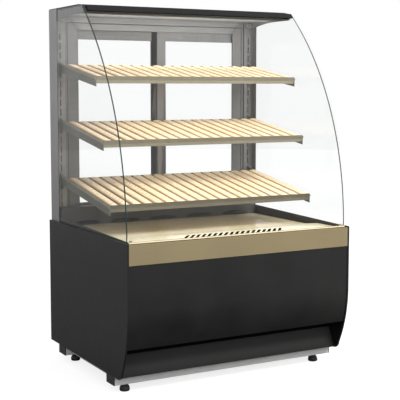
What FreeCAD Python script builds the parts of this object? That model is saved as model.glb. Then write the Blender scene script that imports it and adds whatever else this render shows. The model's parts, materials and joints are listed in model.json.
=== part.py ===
"""Bakery display case: a curved-glass counter with three tilted, slatted shelves.

The row frame has its origin on the floor under the middle of the case, +X to the customer's
right, +Y towards the sliding doors at the back and +Z up. Sizes are in millimetres. Depths are
measured back from the front plane of the base, and moved to the row frame by DEPTH_SHIFT.
"""
import FreeCAD, Part
import math
import os
import Sketcher

doc = FreeCAD.newDocument("bakery_display_case")
sheet = doc.addObject("Spreadsheet::Sheet", "Params")

DRIVING_SIZES = [
    ("case_width", 940, "over the side panels"),
    ("case_depth", 745, "front plane of the base to the back of the posts"),
    ("base_top", 557, "top edge of the side panels"),
    ("base_bottom", 65, "lower edge of the side panels"),
    ("panel_thick", 6.5, "side panel"),
    ("sheet_thick", 2, "folded sheet parts"),
    ("front_curve_top", 320, "height where the base front starts to curve back"),
    ("front_curve_radius", 512, "side panel front"),
    ("panel_front_corner", 6, "rounded top front corner of a side panel"),
    ("panel_toe_height", 92, "height where the side panel turns under"),
    ("panel_toe_radius", 30, "turn under at the toe"),
    ("band_height", 72, "fascia band"),
    ("band_top", 552, "top edge of the fascia band"),
    ("band_setback", 0.5, "fascia band behind the front plane"),
    ("front_setback", 2.5, "front panel behind the side panel edges"),
    ("front_bottom", 181, "lower edge of the front panel"),
    ("seam", 1, "gap between neighbouring sheet parts"),
    ("kick_top_depth", 115, "kick panel, upper edge"),
    ("kick_top_height", 142, "kick panel, upper edge"),
    ("kick_bottom_depth", 76, "kick panel, lower edge"),
    ("kick_bottom_height", 69, "kick panel, lower edge"),
    ("deck_front", 23.5, "front edge of the display deck"),
    ("deck_ledge_depth", 182, "end of the level ledge"),
    ("deck_low_depth", 268, "end of the slope"),
    ("deck_back", 653, "back edge of the display deck"),
    ("deck_top", 549, "top of the level ledge"),
    ("lining_front", 10, "side lining above the deck ledge at its front"),
    ("lining_back", 26, "side lining above the deck ledge at its back"),
    ("deck_drop", 11, "fall from the ledge to the main deck"),
    ("lining_gap", 1.5, "between a side lining and the canopy arm's inner face"),
    ("lining_thick", 3, "side lining"),
    ("air_slot_length", 58, "front air slot, front to back"),
    ("air_slot_width", 13.5, "front air slot, across the case"),
    ("air_slot_lean", 44, "front air slot's back end further to the right"),
    ("air_slot_pitch", 23.7, "between front air slots"),
    ("air_slot_count", 18, "front air slots"),
    ("air_slot_depth", 108, "middle of the row of front air slots"),
    ("air_slot_shift", 20, "row of front air slots to the right of the middle"),
    ("louvre_length", 118, "row of rear return slots"),
    ("louvre_rise", 4, "rear return slot"),
    ("louvre_pitch", 174, "between rear return slots"),
    ("louvre_count", 5, "rear return slots"),
    ("louvre_height", 546, "middle of the rear return slots"),
    ("sill_height", 612, "top of the lower frame bar"),
    ("rail_depth", 66, "base rail, front to back"),
    ("rail_bottom", 32, "underside of the base rails"),
    ("rail_wall", 2.5, "base rail wall"),
    ("rail_groove", 1.2, "depth of the groove along each side of a rail"),
    ("rail_groove_height", 54, "middle of the groove along each side of a rail"),
    ("rail_front_depth", 120, "front face of the front rail"),
    ("rail_rear_depth", 588, "front face of the rear rail"),
    ("rail_cap", 4, "plastic cap on each rail end"),
    ("member_width", 40, "cross member between the rails"),
    ("foot_offset", 413, "feet from the middle of the case"),
    ("foot_radius", 18.5, "foot pad"),
    ("foot_stem_radius", 5, "threaded stem"),
    ("foot_clearance", 0.05, "stem in its hole"),
    ("foot_chamfer", 2, "lower edge of a pad, inside its rim"),
    ("foot_rim_low", 3, "lower edge of a pad's rim"),
    ("foot_rim_high", 9, "upper edge of a pad's rim"),
    ("foot_crown", 24, "top of the dome of a foot"),
    ("foot_stem_end", 5, "end of a stem below the top of its rail"),
    ("post_front", 661, "front edge of the flange along each rear post"),
    ("upright_front", 690, "slotted front face of the rear posts"),
    ("post_width", 45, "rear post"),
    ("post_flange", 2.5, "flange along each rear post"),
    ("post_outer", 460, "outer face of a rear post from the middle"),
    ("post_wall", 2, "rear post wall"),
    ("post_top", 1393, "top of the rear posts"),
    ("post_foot", 69, "bottom of the rear posts"),
    ("slot_pitch", 37, "shelf slots"),
    ("slot_length", 26, "shelf slot"),
    ("slot_width", 4, "shelf slot"),
    ("slot_top", 1286.2, "middle of the highest shelf slot"),
    ("slot_count", 19, "shelf slots in each post"),
    ("slot_offset", 436, "shelf slots from the middle of the case"),
    ("frame_front", 696, "front face of the door surround"),
    ("frame_thick", 7, "door surround bar"),
    ("frame_outer", 414, "outer edge of the door surround"),
    ("frame_inner", 359, "inner edge of the door surround"),
    ("frame_bottom", 548, "lower edge of the door surround"),
    ("header_bottom", 1317, "lower edge of the header bar"),
    ("header_top", 1391, "upper edge of the header bar"),
    ("frame_groove_out", 43, "groove in the surround, from its inner edge to the side"),
    ("frame_groove_up", 25, "groove in the surround, from its inner edge up and down"),
    ("frame_groove_width", 3, "groove in the surround"),
    ("track_web", 4, "thickness of the track channels"),
    ("track_fin", 14, "height of the track fins"),
    ("track_back", 742, "back face of the tracks"),
    ("door_stop_back", 740, "back face of the door stops"),
    ("door_thick", 12, "sliding door frame"),
    ("door_bottom", 592.5, "underside of the doors"),
    ("door_top", 1381, "top of the doors"),
    ("door_stile", 39, "width of a door stile"),
    ("door_rail", 27.5, "height of the lower door rail"),
    ("door_head", 100, "height of the upper door rail"),
    ("door_width", 407, "sliding door"),
    ("inner_door_depth", 706, "front of the door nearer the shelves"),
    ("outer_door_depth", 724, "front of the door nearer the user"),
    ("door_overlap_middle", 11.5, "middle of the overlapping stiles"),
    ("door_stop_gap", 2, "between a closed door and its stop"),
    ("door_lap", 8.5, "closed stiles short of a full overlap, each side"),
    ("vent_rise", 4, "service panel vent"),
    ("vent_pitch", 15, "between service panel vents"),
    ("vent_count", 13, "service panel vents in a column"),
    ("vent_bottom", 160, "lowest service panel vent"),
    ("inlet_middle", 324, "power inlet from the middle of the case"),
    ("switch_middle", 267, "lamp switch from the middle of the case"),
    ("inlet_height", 473.5, "middle of the power inlet and the lamp switch"),
    ("switch_rest_tilt", 8, "degrees, lamp switch at rest"),
    ("door_pane_thick", 4, "door glass"),
    ("handle_length", 160, "door pull"),
    ("handle_inset", 8, "door pull from the edge of its stile"),
    ("handle_width", 12, "door pull"),
    ("handle_rise", 5, "door pull, out from its stile"),
    ("handle_taper", 6, "sloping end of a door pull"),
    ("glass_foot_depth", 15, "outer face of the front glass at its foot"),
    ("glass_foot_height", 559, "lower edge of the front glass"),
    ("glass_radius", 1110, "outer face of the curved glass"),
    ("glass_thick", 6, "front glass"),
    ("glass_top", 1385, "upper edge of the front glass"),
    ("glass_half_width", 463, "front glass"),
    ("side_glass_thick", 5, "end glass"),
    ("side_glass_gap", 3, "between the front glass and the end glass"),
    ("side_glass_bottom", 530, "lower edge of the end glass"),
    ("seal_inset", 6, "end of the glass seal, inside the edge of the glass"),
    ("seal_lead", 2, "glass seal in front of the glass"),
    ("seal_width", 10, "glass seal, front to back"),
    ("stop_inset", 12, "corner stop, inside the edge of the glass"),
    ("stop_width", 12, "corner stop"),
    ("stop_gap", 1.5, "between the front glass and a corner stop"),
    ("stop_thick", 5, "corner stop, front to back"),
    ("stop_rise", 6, "corner stop above the foot of the glass"),
    ("stop_slant", 1, "lean of a corner stop's back face"),
    ("glass_clip_bottom", 1368, "lower edge of the bar that grips the glass"),
    ("glass_clip_top", 1387.5, "upper edge of the bar that grips the glass"),
    ("glass_clip_wall", 2, "bar that grips the glass"),
    ("glass_clip_gap", 0.2, "glue line in the bar"),
    ("clip_half_width", 451, "bar that grips the glass"),
    ("hinge_depth", 420, "hinge axis"),
    ("hinge_height", 1386.5, "hinge axis"),
    ("hinge_offset", 428, "hinges from the middle of the case"),
    ("knuckle_radius", 6.5, "hinge knuckle"),
    ("knuckle_length", 22, "hinge knuckle"),
    ("lug_thick", 5, "hinge lug"),
    ("lug_radius", 5.5, "hinge lug"),
    ("pin_radius", 2.5, "hinge pin"),
    ("pin_clearance", 0.05, "pin in the knuckle"),
    ("hinge_gap", 0.5, "between knuckle and lugs"),
    ("leaf_thick", 5, "leaf that joins a knuckle to the glass bar"),
    ("leaf_root", 0.6, "leaf's end inside the knuckle"),
    ("leaf_gap", 0.1, "glue line between leaf and glass bar"),
    ("lug_gap", 0.2, "between the lugs and the canopy's step"),
    ("lug_heel", 4, "lug above the canopy at its back"),
    ("lug_slant", 2, "lug's sloping back edge"),
    ("canopy_under", 1366, "underside of the canopy"),
    ("canopy_top_height", 1387, "upper face of the canopy"),
    ("canopy_front", 384, "front lower edge of the canopy"),
    ("canopy_back", 686, "back edge of the underside"),
    ("canopy_half_width", 451, "canopy"),
    ("nose_clear", 4, "canopy step behind the knuckles"),
    ("nose_drop", 3, "canopy ledge below the knuckles"),
    ("nose_wall", 8, "thickness of the canopy's step"),
    ("nose_slope", 14, "sloping front of the canopy"),
    ("cover_gap", 0.5, "canopy cover above and behind its neighbours"),
    ("cover_overhang", 8, "canopy cover past the canopy, each side"),
    ("cover_short", 1, "canopy cover in front of the back of the posts"),
    ("arm_inner", 452.5, "inner face of a canopy arm from the middle"),
    ("arm_thick", 4, "canopy arm"),
    ("arm_tab", 30, "tab that screws a canopy arm to its post"),
    ("arm_curve", 190, "length of the curve under a canopy arm"),
    ("arm_front", 16, "front end of an arm behind the front of the canopy"),
    ("arm_drop", 4, "arm below the canopy's underside"),
    ("arm_heel", 26, "arm's lower end below the canopy's underside"),
    ("arm_nose_run", 20, "sloping front end of an arm"),
    ("arm_nose_fall", 12, "sloping front end of an arm"),
    ("arm_tab_thick", 3, "tab that screws a canopy arm to its post"),
    ("arm_tab_step", 4, "lower edge of a tab above the arm's heel"),
    ("arm_tab_clear", 2, "upper edge of a tab below the canopy's underside"),
    ("arm_screw_rise", 14, "arm screws above the arm's heel"),
    ("screw_gap", 0.2, "screw head in front of its tab"),
    ("lamp_depth", 442, "front of the lamp"),
    ("lamp_width", 34, "lamp, front to back"),
    ("lamp_recess", 3, "lamp above the lower face of the canopy"),
    ("lamp_half_length", 449, "lamp"),
    ("lamp_lens_side", 3, "straight side of the diffuser, above its lower face"),
    ("lamp_lens_high", 6, "height of the diffuser"),
    ("lamp_lens_slope", 4, "sloping edge of the diffuser"),
    ("lamp_case", 9.5, "height of the lamp housing"),
    ("shelf_tilt", 9.6, "degrees, falling to the front"),
    ("shelf_pitch", 222, "between shelves at the posts"),
    ("shelf_back_height", 1190, "top shelf surface at the posts"),
    ("shelf_back", 618, "back end of the slats"),
    ("shelf_front_top", 330, "front of the top shelf"),
    ("shelf_front_middle", 268, "front of the middle shelf"),
    ("shelf_front_low", 215, "front of the low shelf"),
    ("shelf_half_width", 434.5, "shelf rails"),
    ("shelf_rail_height", 27, "front rail"),
    ("shelf_rail_step", 1.5, "step half way down the front rail"),
    ("shelf_rail_lip", 14, "lip on which the slats rest"),
    ("shelf_slat_gap", 0.25, "between the slats and the front rail"),
    ("bracket_start", 3, "front end of a bracket behind the rail"),
    ("bracket_hook", 5, "hook behind the post's wall"),
    ("bracket_hook_share", 0.4, "upper hook below the shelf, in slot pitches"),
    ("bracket_thick", 3, "shelf bracket"),
    ("bracket_drop", 5.5, "shelf bracket below the slats"),
    ("bracket_front_height", 32.5, "shelf bracket at its front"),
    ("bracket_back_height", 38, "shelf bracket at the post"),
    ("bracket_heel", 14, "deep end of a bracket beside the post"),
    ("bracket_lip", 7, "folded lip along the top of a bracket"),
    ("bracket_lip_thick", 3, "folded lip along the top of a bracket"),
    ("bracket_tab", 9, "half the height of a bracket hook"),
    ("slat_width", 35, "wooden slat"),
    ("slat_thick", 13.5, "wooden slat"),
    ("slat_crown", 3, "rise of the rounded slat top"),
    ("slat_count", 19, "slats on each shelf"),
    ("slat_span", 416.5, "middle of the outermost slat from the middle"),
    ("batten_width", 24, "cross batten"),
    ("batten_thick", 8, "cross batten"),
    ("fan_radius", 56, "air fan rotor"),
    ("fan_size", 120, "air fan frame"),
    ("fan_depth", 38, "air fan frame"),
    ("fan_front", 380, "front of the air fan"),
    ("fan_lift", 0.5, "air fan and lamp driver above the bottom pan"),
    ("fan_clearance", 2, "rotor in its frame"),
    ("fan_spoke", 8, "spoke that carries the rotor"),
    ("fan_spoke_thick", 4, "spoke that carries the rotor"),
    ("fan_hub", 20, "rotor hub"),
    ("fan_rotor_front", 8, "rotor behind the front of the frame"),
    ("fan_hub_depth", 26, "rotor hub, front to back"),
    ("fan_blade_depth", 22, "rotor blade, front to back"),
    ("fan_blade_count", 7, "rotor blades"),
    ("inlet_length", 30, "inlet shell behind the panel"),
    ("inlet_rim", 3, "flange of the inlet and of the switch frame"),
    ("inlet_rim_thick", 2, "flange of the inlet and of the switch frame"),
    ("inlet_well", 16, "depth of the inlet's socket"),
    ("inlet_lift", 0.2, "flanges off the service panel"),
    ("switch_play", 1, "rocker in its frame, each side"),
    ("driver_left", 180, "left end of the lamp driver"),
    ("driver_right", 330, "right end of the lamp driver"),
    ("driver_front", 560, "front of the lamp driver"),
    ("driver_back", 620, "back of the lamp driver"),
    ("driver_height", 38, "lamp driver"),
]
SHELF_FRONTS = {"top": "shelf_front_top", "middle": "shelf_front_middle", "low": "shelf_front_low"}
SIDES = {"left": -1, "right": 1}


def fill_sheet():
    """One row for each driving size: its name, its value and what it measures."""
    for row, (alias, amount, meaning) in enumerate(DRIVING_SIZES, start=1):
        sheet.set(f"A{row}", alias)
        sheet.set(f"B{row}", str(amount))
        sheet.set(f"C{row}", meaning)
        sheet.setAlias(f"B{row}", alias)
    doc.recompute()


class Size:
    """A length or angle: its value now, and the formula on the sheet's cells that gives it."""

    def __init__(self, value, formula):
        self.value = float(value)
        self.formula = formula

    def __add__(self, other):
        other = as_size(other)
        return Size(self.value + other.value, f"({self.formula} + {other.formula})")

    def __sub__(self, other):
        other = as_size(other)
        return Size(self.value - other.value, f"({self.formula} - {other.formula})")

    def __mul__(self, other):
        other = as_size(other)
        return Size(self.value * other.value, f"({self.formula} * {other.formula})")

    def __truediv__(self, other):
        other = as_size(other)
        return Size(self.value / other.value, f"({self.formula} / {other.formula})")

    def __neg__(self):
        return Size(-self.value, f"(0 - {self.formula})")

    def __radd__(self, other):
        return as_size(other) + self

    def __rsub__(self, other):
        return as_size(other) - self

    def __rmul__(self, other):
        return as_size(other) * self


def as_size(amount):
    """A plain number as a Size; a Size unchanged."""
    if isinstance(amount, Size):
        return amount
    return Size(amount, f"({amount:.6f})")


def root(amount):
    return Size(math.sqrt(amount.value), f"sqrt({amount.formula})")


def sine(angle):
    return Size(math.sin(math.radians(angle.value)), f"sin({angle.formula})")


def cosine(angle):
    return Size(math.cos(math.radians(angle.value)), f"cos({angle.formula})")


def tangent(angle):
    return sine(angle) / cosine(angle)


fill_sheet()
P = {alias: Size(sheet.get(alias), f"Params.{alias}") for alias, _, _ in DRIVING_SIZES}
HALF_WIDTH = P["case_width"] / 2
DEPTH_SHIFT = P["case_depth"] / -2
PANEL_INNER = HALF_WIDTH - P["panel_thick"]
FLOOR_GAP = P["seam"] / 2
nodes = {}


def bind(item, path, amount):
    """Binds one property of a document object to the sheet."""
    item.setExpression(path, as_size(amount).formula)


def place(item, across=0, depth=0, height=0):
    """Puts an object at a point given as across the case, depth from the front plane, height."""
    bind(item, "Placement.Base.x", across)
    bind(item, "Placement.Base.y", as_size(depth) + DEPTH_SHIFT)
    bind(item, "Placement.Base.z", height)


def node(item, label):
    """Marks an object as one sub-part, exported under its label."""
    item.Label = label
    nodes[label] = item
    return item


def box(name, across, depth, height):
    """A block between two values on each axis: across, depth and height are (low, high)."""
    block = doc.addObject("Part::Box", name)
    bind(block, "Length", as_size(across[1]) - across[0])
    bind(block, "Width", as_size(depth[1]) - depth[0])
    bind(block, "Height", as_size(height[1]) - height[0])
    place(block, across[0], depth[0], height[0])
    return block


def group(name, members):
    """Several like solids that share one sub-part."""
    joined = doc.addObject("Part::Compound", name)
    joined.Links = members
    return node(joined, name)


def mirrored(low, high, side):
    """The range low to high on the side where x is positive, or its mirror image."""
    if side > 0:
        return as_size(low), as_size(high)
    return -as_size(high), -as_size(low)


def origin_plane(body, role):
    return [feature for feature in body.Origin.OriginFeatures if feature.Role == role][0]


def pin_point(sketch, geometry, end, corner):
    """Fixes one end of a sketch edge, or a circle's centre, at a corner given as two sizes."""
    for kind, amount in (("DistanceX", corner[0]), ("DistanceY", corner[1])):
        amount = as_size(amount)
        index = sketch.addConstraint(
            Sketcher.Constraint(kind, -1, 1, geometry, end, amount.value))
        sketch.setExpression(f"Constraints[{index}]", amount.formula)


def pin_radius(sketch, geometry, radius):
    radius = as_size(radius)
    index = sketch.addConstraint(Sketcher.Constraint("Radius", geometry, radius.value))
    sketch.setExpression(f"Constraints[{index}]", radius.formula)


def flat(corner):
    return FreeCAD.Vector(as_size(corner[0]).value, as_size(corner[1]).value, 0)


def arc_between(start, end, radius, turn):
    """The arc from start to end; turn is 1 when it bends anticlockwise and -1 clockwise."""
    chord = end - start
    half = chord.Length / 2
    rise = math.sqrt(max(radius * radius - half * half, 0))
    left = FreeCAD.Vector(-chord.y, chord.x, 0).normalize()
    centre = start + chord * 0.5 + left * (rise * turn)
    first, last = (start, end) if turn > 0 else (end, start)
    angles = [math.atan2(p.y - centre.y, p.x - centre.x) for p in (first, last)]
    if angles[1] < angles[0]:
        angles[1] += 2 * math.pi
    circle = Part.Circle(centre, FreeCAD.Vector(0, 0, 1), radius)
    return Part.ArcOfCircle(circle, angles[0], angles[1])


def draw(sketch, outline):
    """Adds a closed outline. Each corner is (u, v), or (u, v, radius, turn) when the edge that
    leaves it is an arc."""
    ends = []
    for number, corner in enumerate(outline):
        following = outline[(number + 1) % len(outline)]
        start, end = flat(corner), flat(following)
        if len(corner) == 2:
            geometry = sketch.addGeometry(Part.LineSegment(start, end), False)
            ends.append((geometry, 1, 2))
        else:
            arc = arc_between(start, end, as_size(corner[2]).value, corner[3])
            geometry = sketch.addGeometry(arc, False)
            ends.append((geometry, 1, 2) if corner[3] > 0 else (geometry, 2, 1))
    for number, (geometry, start_end, finish_end) in enumerate(ends):
        after, after_start, _ = ends[(number + 1) % len(ends)]
        sketch.addConstraint(
            Sketcher.Constraint("Coincident", geometry, finish_end, after, after_start))
    for (geometry, start_end, _), corner in zip(ends, outline):
        pin_point(sketch, geometry, start_end, corner)
        if len(corner) > 2:
            pin_radius(sketch, geometry, corner[2])


def draw_circle(sketch, centre, radius):
    circle = Part.Circle(flat(centre), FreeCAD.Vector(0, 0, 1), as_size(radius).value)
    geometry = sketch.addGeometry(circle, False)
    pin_point(sketch, geometry, 3, centre)
    pin_radius(sketch, geometry, radius)


def new_body(name):
    return doc.addObject("PartDesign::Body", name)


def new_sketch(body, role, outlines=(), circles=()):
    """A sketch on one of the body's own origin planes."""
    sketch = body.newObject("Sketcher::SketchObject", f"{body.Name}_sketch")
    sketch.AttachmentSupport = (origin_plane(body, role), [""])
    sketch.MapMode = "FlatFace"
    for outline in outlines:
        draw(sketch, outline)
    for centre, radius in circles:
        draw_circle(sketch, centre, radius)
    return sketch


def faces_backwards(sketch):
    """True on the plane whose sketches face the front, so that a pad would grow forwards."""
    return sketch.AttachmentSupport[0][0].Role == "XZ_Plane"


def extrude(body, sketch, length):
    """A pad that grows along the positive axis."""
    pad = body.newObject("PartDesign::Pad", f"{body.Name}_pad")
    pad.Profile = sketch
    bind(pad, "Length", length)
    pad.Reversed = faces_backwards(sketch)
    return pad


def cut(body, sketch, length):
    """A pocket along the positive axis, which has to take material away."""
    doc.recompute()
    before = body.Shape.Volume
    pocket = body.newObject("PartDesign::Pocket", f"{body.Name}_pocket")
    pocket.Profile = sketch
    bind(pocket, "Length", length)
    pocket.Reversed = not faces_backwards(sketch)
    doc.recompute()
    if body.Shape.Volume >= before:
        raise RuntimeError(f"{body.Name}: the pocket cuts nothing")
    return pocket


def repeat(body, feature, sketch, axis, length, count):
    """A row of copies of a feature along one of its sketch's axes, over a total length."""
    pattern = body.newObject("PartDesign::LinearPattern", f"{body.Name}_row")
    pattern.Originals = [feature]
    pattern.Direction = (sketch, [axis])
    bind(pattern, "Length", length)
    bind(pattern, "Occurrences", count)
    body.Tip = pattern
    return pattern


def section(name, outline, across):
    """A profile in the depth and height plane, extruded over a range across the case."""
    body = new_body(name)
    extrude(body, new_sketch(body, "YZ_Plane", [outline]), as_size(across[1]) - across[0])
    place(body, across[0])
    return body


def plate(name, outline, depth):
    """A profile in the across and height plane, extruded over a range of depth."""
    body = new_body(name)
    sketch = new_sketch(body, "XZ_Plane", [outline])
    extrude(body, sketch, as_size(depth[1]) - depth[0])
    place(body, 0, depth[0])
    return body


def rectangle(low, high):
    """A rectangle as a sketch outline, from its lowest corner to its highest."""
    return [low, (high[0], low[1]), high, (low[0], high[1])]


INLET_HALF = (24, 13.5)
WELL_HALF = (14, 9.5)
SWITCH_HALF = (8.5, 11)
ROCKER = [(-8, -7.5), (3, -9.5), (1.5, 0), (3, 9.5), (-8, 7.5)]
SCREW_DOME = [(0, 2.2), (1.8, 1.9), (3.2, 0.8), (3.6, 0)]
ARM_SCREW_SHARES = (0.25, 0.8)
FAN_BLADE = [(16, -3), (54.3, -10), (54.3, 4), (16, 3)]


def inlet_edges(half, grow):
    """A rectangle round the middle of the power inlet."""
    return edges_round(P["inlet_middle"], half, grow)


def switch_edges(half, grow):
    """A rectangle round the middle of the lamp switch."""
    return edges_round(P["switch_middle"], half, grow)


def edges_round(middle, half, grow):
    wide, tall = half[0] + grow, half[1] + grow
    height = P["inlet_height"]
    return rectangle((middle - wide, height - tall), (middle + wide, height + tall))


def front_curve(inset, height):
    """Depth of the base front at a height: straight down, then an arc that bends back."""
    drop = P["front_curve_top"] - height
    radius = P["front_curve_radius"] - inset
    return P["front_curve_radius"] - root(radius * radius - drop * drop)


def glass_curve(inset, height):
    """Depth of the curved front at a height; inset is measured inwards from the outer face."""
    radius = P["glass_radius"] - inset
    rise = as_size(height) - P["glass_foot_height"]
    return P["glass_foot_depth"] + P["glass_radius"] - root(radius * radius - rise * rise)


# ---------------------------------------------------------------- base cabinet


def side_panels():
    corner = P["panel_front_corner"]
    toe = P["panel_toe_height"]
    toe_depth = front_curve(0, toe)
    back = P["case_depth"] - P["sheet_thick"]
    outline = [
        (corner, P["base_top"], corner, 1),
        (0, P["base_top"] - corner),
        (0, P["front_curve_top"], P["front_curve_radius"], 1),
        (toe_depth, toe, P["panel_toe_radius"], 1),
        (toe_depth + P["panel_toe_radius"], P["base_bottom"]),
        (back, P["base_bottom"]),
        (back, P["base_top"]),
    ]
    for name, side in SIDES.items():
        across = mirrored(PANEL_INNER, HALF_WIDTH, side)
        node(section(f"side_panel_{name}", outline, across), f"side_panel_{name}")


def fascia_band():
    front = P["band_setback"]
    inside = front + P["sheet_thick"]
    low = P["band_top"] - P["band_height"]
    under = P["band_top"] - P["sheet_thick"]
    flange_back = P["deck_front"] - P["seam"]
    outline = [
        (front, low),
        (inside, low),
        (inside, under),
        (flange_back, under),
        (flange_back, P["band_top"]),
        (front, P["band_top"]),
    ]
    half = PANEL_INNER - P["seam"] / 2
    node(section("fascia_band", outline, (-half, half)), "fascia_band")


def front_panel():
    outer = P["front_setback"]
    inner = outer + P["sheet_thick"]
    top = P["band_top"] - P["band_height"] - P["seam"]
    bend = P["front_curve_top"]
    low = P["front_bottom"]
    outline = [
        (outer, top),
        (outer, bend, P["front_curve_radius"] - outer, 1),
        (front_curve(outer, low), low),
        (front_curve(inner, low), low, P["front_curve_radius"] - inner, -1),
        (inner, bend),
        (inner, top),
    ]
    half = PANEL_INNER - P["seam"] / 2
    node(section("front_panel", outline, (-half, half)), "front_panel")


def groove_channel():
    """The dark shelf that closes the gap between the front panel and the kick panel."""
    top = P["front_bottom"] + P["sheet_thick"]
    front = front_curve(P["front_setback"] + P["sheet_thick"], P["front_bottom"]) + P["seam"]
    back = P["kick_top_depth"] + P["sheet_thick"] * 3
    low = P["kick_top_height"] - P["sheet_thick"] * 4
    outline = [
        (front, top),
        (front, top - P["sheet_thick"]),
        (back - P["sheet_thick"], top - P["sheet_thick"]),
        (back - P["sheet_thick"], low),
        (back, low),
        (back, top),
    ]
    half = PANEL_INNER - P["seam"] / 2
    node(section("groove_channel", outline, (-half, half)), "groove_channel")


def kick_panel():
    top = (P["kick_top_depth"], P["kick_top_height"])
    low = (P["kick_bottom_depth"], P["kick_bottom_height"])
    run, rise = top[0] - low[0], top[1] - low[1]
    back = P["sheet_thick"] * root(run * run + rise * rise) / rise
    outline = [top, low, (low[0] + back, low[1]), (top[0] + back, top[1])]
    half = PANEL_INNER - P["seam"] / 2
    node(section("kick_panel", outline, (-half, half)), "kick_panel")


def bottom_pan():
    low = P["base_bottom"] + P["seam"]
    half = PANEL_INNER - P["seam"]
    depth = (P["kick_bottom_depth"] + 4 * P["sheet_thick"], P["case_depth"] - 5 * P["sheet_thick"])
    pan = box("bottom_pan", (-half, half), depth, (low, low + P["sheet_thick"]))
    node(pan, "bottom_pan")


def service_panel():
    """Back cover with columns of ventilation slots, between the posts."""
    half = P["post_outer"] - P["post_width"] - P["seam"]
    low = P["post_foot"]
    top = P["door_bottom"] - P["track_web"] - P["seam"]
    thick = P["sheet_thick"]
    body = new_body("service_panel")
    extrude(body, new_sketch(body, "XZ_Plane", [rectangle((-half, low), (half, top))]), thick)
    reach = P["louvre_length"] / 2
    bottom = P["vent_bottom"]
    for column in (-1, 0, 1):
        middle = P["louvre_pitch"] * column
        edges = rectangle((middle - reach, bottom), (middle + reach, bottom + P["vent_rise"]))
        vent_sketch = new_sketch(body, "XZ_Plane", [edges])
        vent = cut(body, vent_sketch, thick * 2)
        run = P["vent_pitch"] * (P["vent_count"] - 1)
        repeat(body, vent, vent_sketch, "V_Axis", run, P["vent_count"])
    openings = [inlet_edges(INLET_HALF, 0), switch_edges(SWITCH_HALF, FLOOR_GAP)]
    cut(body, new_sketch(body, "XZ_Plane", openings), thick * 2)
    place(body, 0, P["case_depth"] - 4 * thick)
    node(body, "service_panel")


def base_rails():
    """Two closed tubes under the whole width, two cross members and plastic end caps."""
    low = P["rail_bottom"]
    top = P["base_bottom"] - P["seam"] / 4
    wall = P["rail_wall"]
    half = HALF_WIDTH - P["rail_cap"]
    fronts = {"front": P["rail_front_depth"], "rear": P["rail_rear_depth"]}
    caps = []
    for name, front in fronts.items():
        body = new_body(f"{name}_rail")
        back = front + P["rail_depth"]
        deep = P["rail_groove"]
        groove = P["rail_groove_height"]
        outer = [
            (front, low),
            (back, low),
            (back, groove - deep),
            (back - deep, groove - deep),
            (back - deep, groove + deep),
            (back, groove + deep),
            (back, top),
            (front, top),
            (front, groove + deep),
            (front + deep, groove + deep),
            (front + deep, groove - deep),
            (front, groove - deep),
        ]
        inner = rectangle((front + wall, low + wall), (back - wall, top - wall))
        extrude(body, new_sketch(body, "YZ_Plane", [outer, inner]), half * 2)
        centre = front + P["rail_depth"] / 2
        reach = P["foot_stem_radius"] + P["foot_clearance"]
        holes = [((half + P["foot_offset"] * side, centre), reach) for side in SIDES.values()]
        stem_holes = new_sketch(body, "XY_Plane", circles=holes)
        cut(body, stem_holes, low + wall * 2)
        place(body, -half)
        node(body, f"{name}_rail")
        for side in SIDES.values():
            across = mirrored(half, HALF_WIDTH, side)
            caps.append(box("rail_cap", across, (front, back), (low, top)))
    group("rail_end_caps", caps)
    gap = (P["rail_front_depth"] + P["rail_depth"], P["rail_rear_depth"])
    reach = P["member_width"] / 2
    members = []
    for side in SIDES.values():
        across = mirrored(P["foot_offset"] - reach, P["foot_offset"] + reach, side)
        members.append(box("cross_member", across, gap, (low + wall, top)))
    group("cross_members", members)


def feet():
    """Four screw feet: a domed pad on a threaded stem that turns in its rail."""
    pad = P["foot_radius"]
    stem = P["foot_stem_radius"]
    neck = P["rail_bottom"] - P["seam"]
    end_height = P["base_bottom"] - P["foot_stem_end"]
    outline = [
        (0, 0),
        (pad - P["foot_chamfer"], 0),
        (pad, P["foot_rim_low"]),
        (pad, P["foot_rim_high"], pad, 1),
        (stem * 2, P["foot_crown"]),
        (stem * 2, neck),
        (stem, neck),
        (stem, end_height),
        (0, end_height),
    ]
    fronts = {"front": P["rail_front_depth"], "rear": P["rail_rear_depth"]}
    for end, front in fronts.items():
        for name, side in SIDES.items():
            body = new_body(f"foot_{end}_{name}")
            turned = body.newObject("PartDesign::Revolution", f"{body.Name}_turned")
            turned.Profile = new_sketch(body, "XZ_Plane", [outline])
            turned.ReferenceAxis = (turned.Profile[0], ["V_Axis"])
            turned.Angle = 360
            place(body, P["foot_offset"] * side, front + P["rail_depth"] / 2)
            node(body, f"foot_{end}_{name}")


# ---------------------------------------------------------------- display deck


def deck_edge(shift):
    """The deck's upper line, moved down by shift."""
    top = P["deck_top"] - shift
    low = top - P["deck_drop"]
    return [
        (P["deck_front"], top),
        (P["deck_ledge_depth"], top),
        (P["deck_low_depth"], low),
        (P["deck_back"], low),
    ]


def display_deck():
    """The display deck, with a row of slanted air slots along the front ledge."""
    half = P["arm_inner"] + P["seam"]
    outline = deck_edge(0) + deck_edge(P["sheet_thick"])[::-1]
    body = section("display_deck", outline, (-half, half))
    length = P["air_slot_length"] / 2
    width = P["air_slot_width"]
    span = P["air_slot_pitch"] * (P["air_slot_count"] - 1)
    start = half + P["air_slot_shift"] - span / 2
    middle = P["air_slot_depth"]
    lean = P["air_slot_lean"] / 2
    corners = [
        (start - width / 2 - lean, middle - length),
        (start + width / 2 - lean, middle - length),
        (start + width / 2 + lean, middle + length),
        (start - width / 2 + lean, middle + length),
    ]
    slot_sketch = new_sketch(body, "XY_Plane", [corners])
    slot = cut(body, slot_sketch, P["deck_top"] + P["sheet_thick"])
    repeat(body, slot, slot_sketch, "H_Axis", span, P["air_slot_count"])
    node(body, "display_deck")


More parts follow.
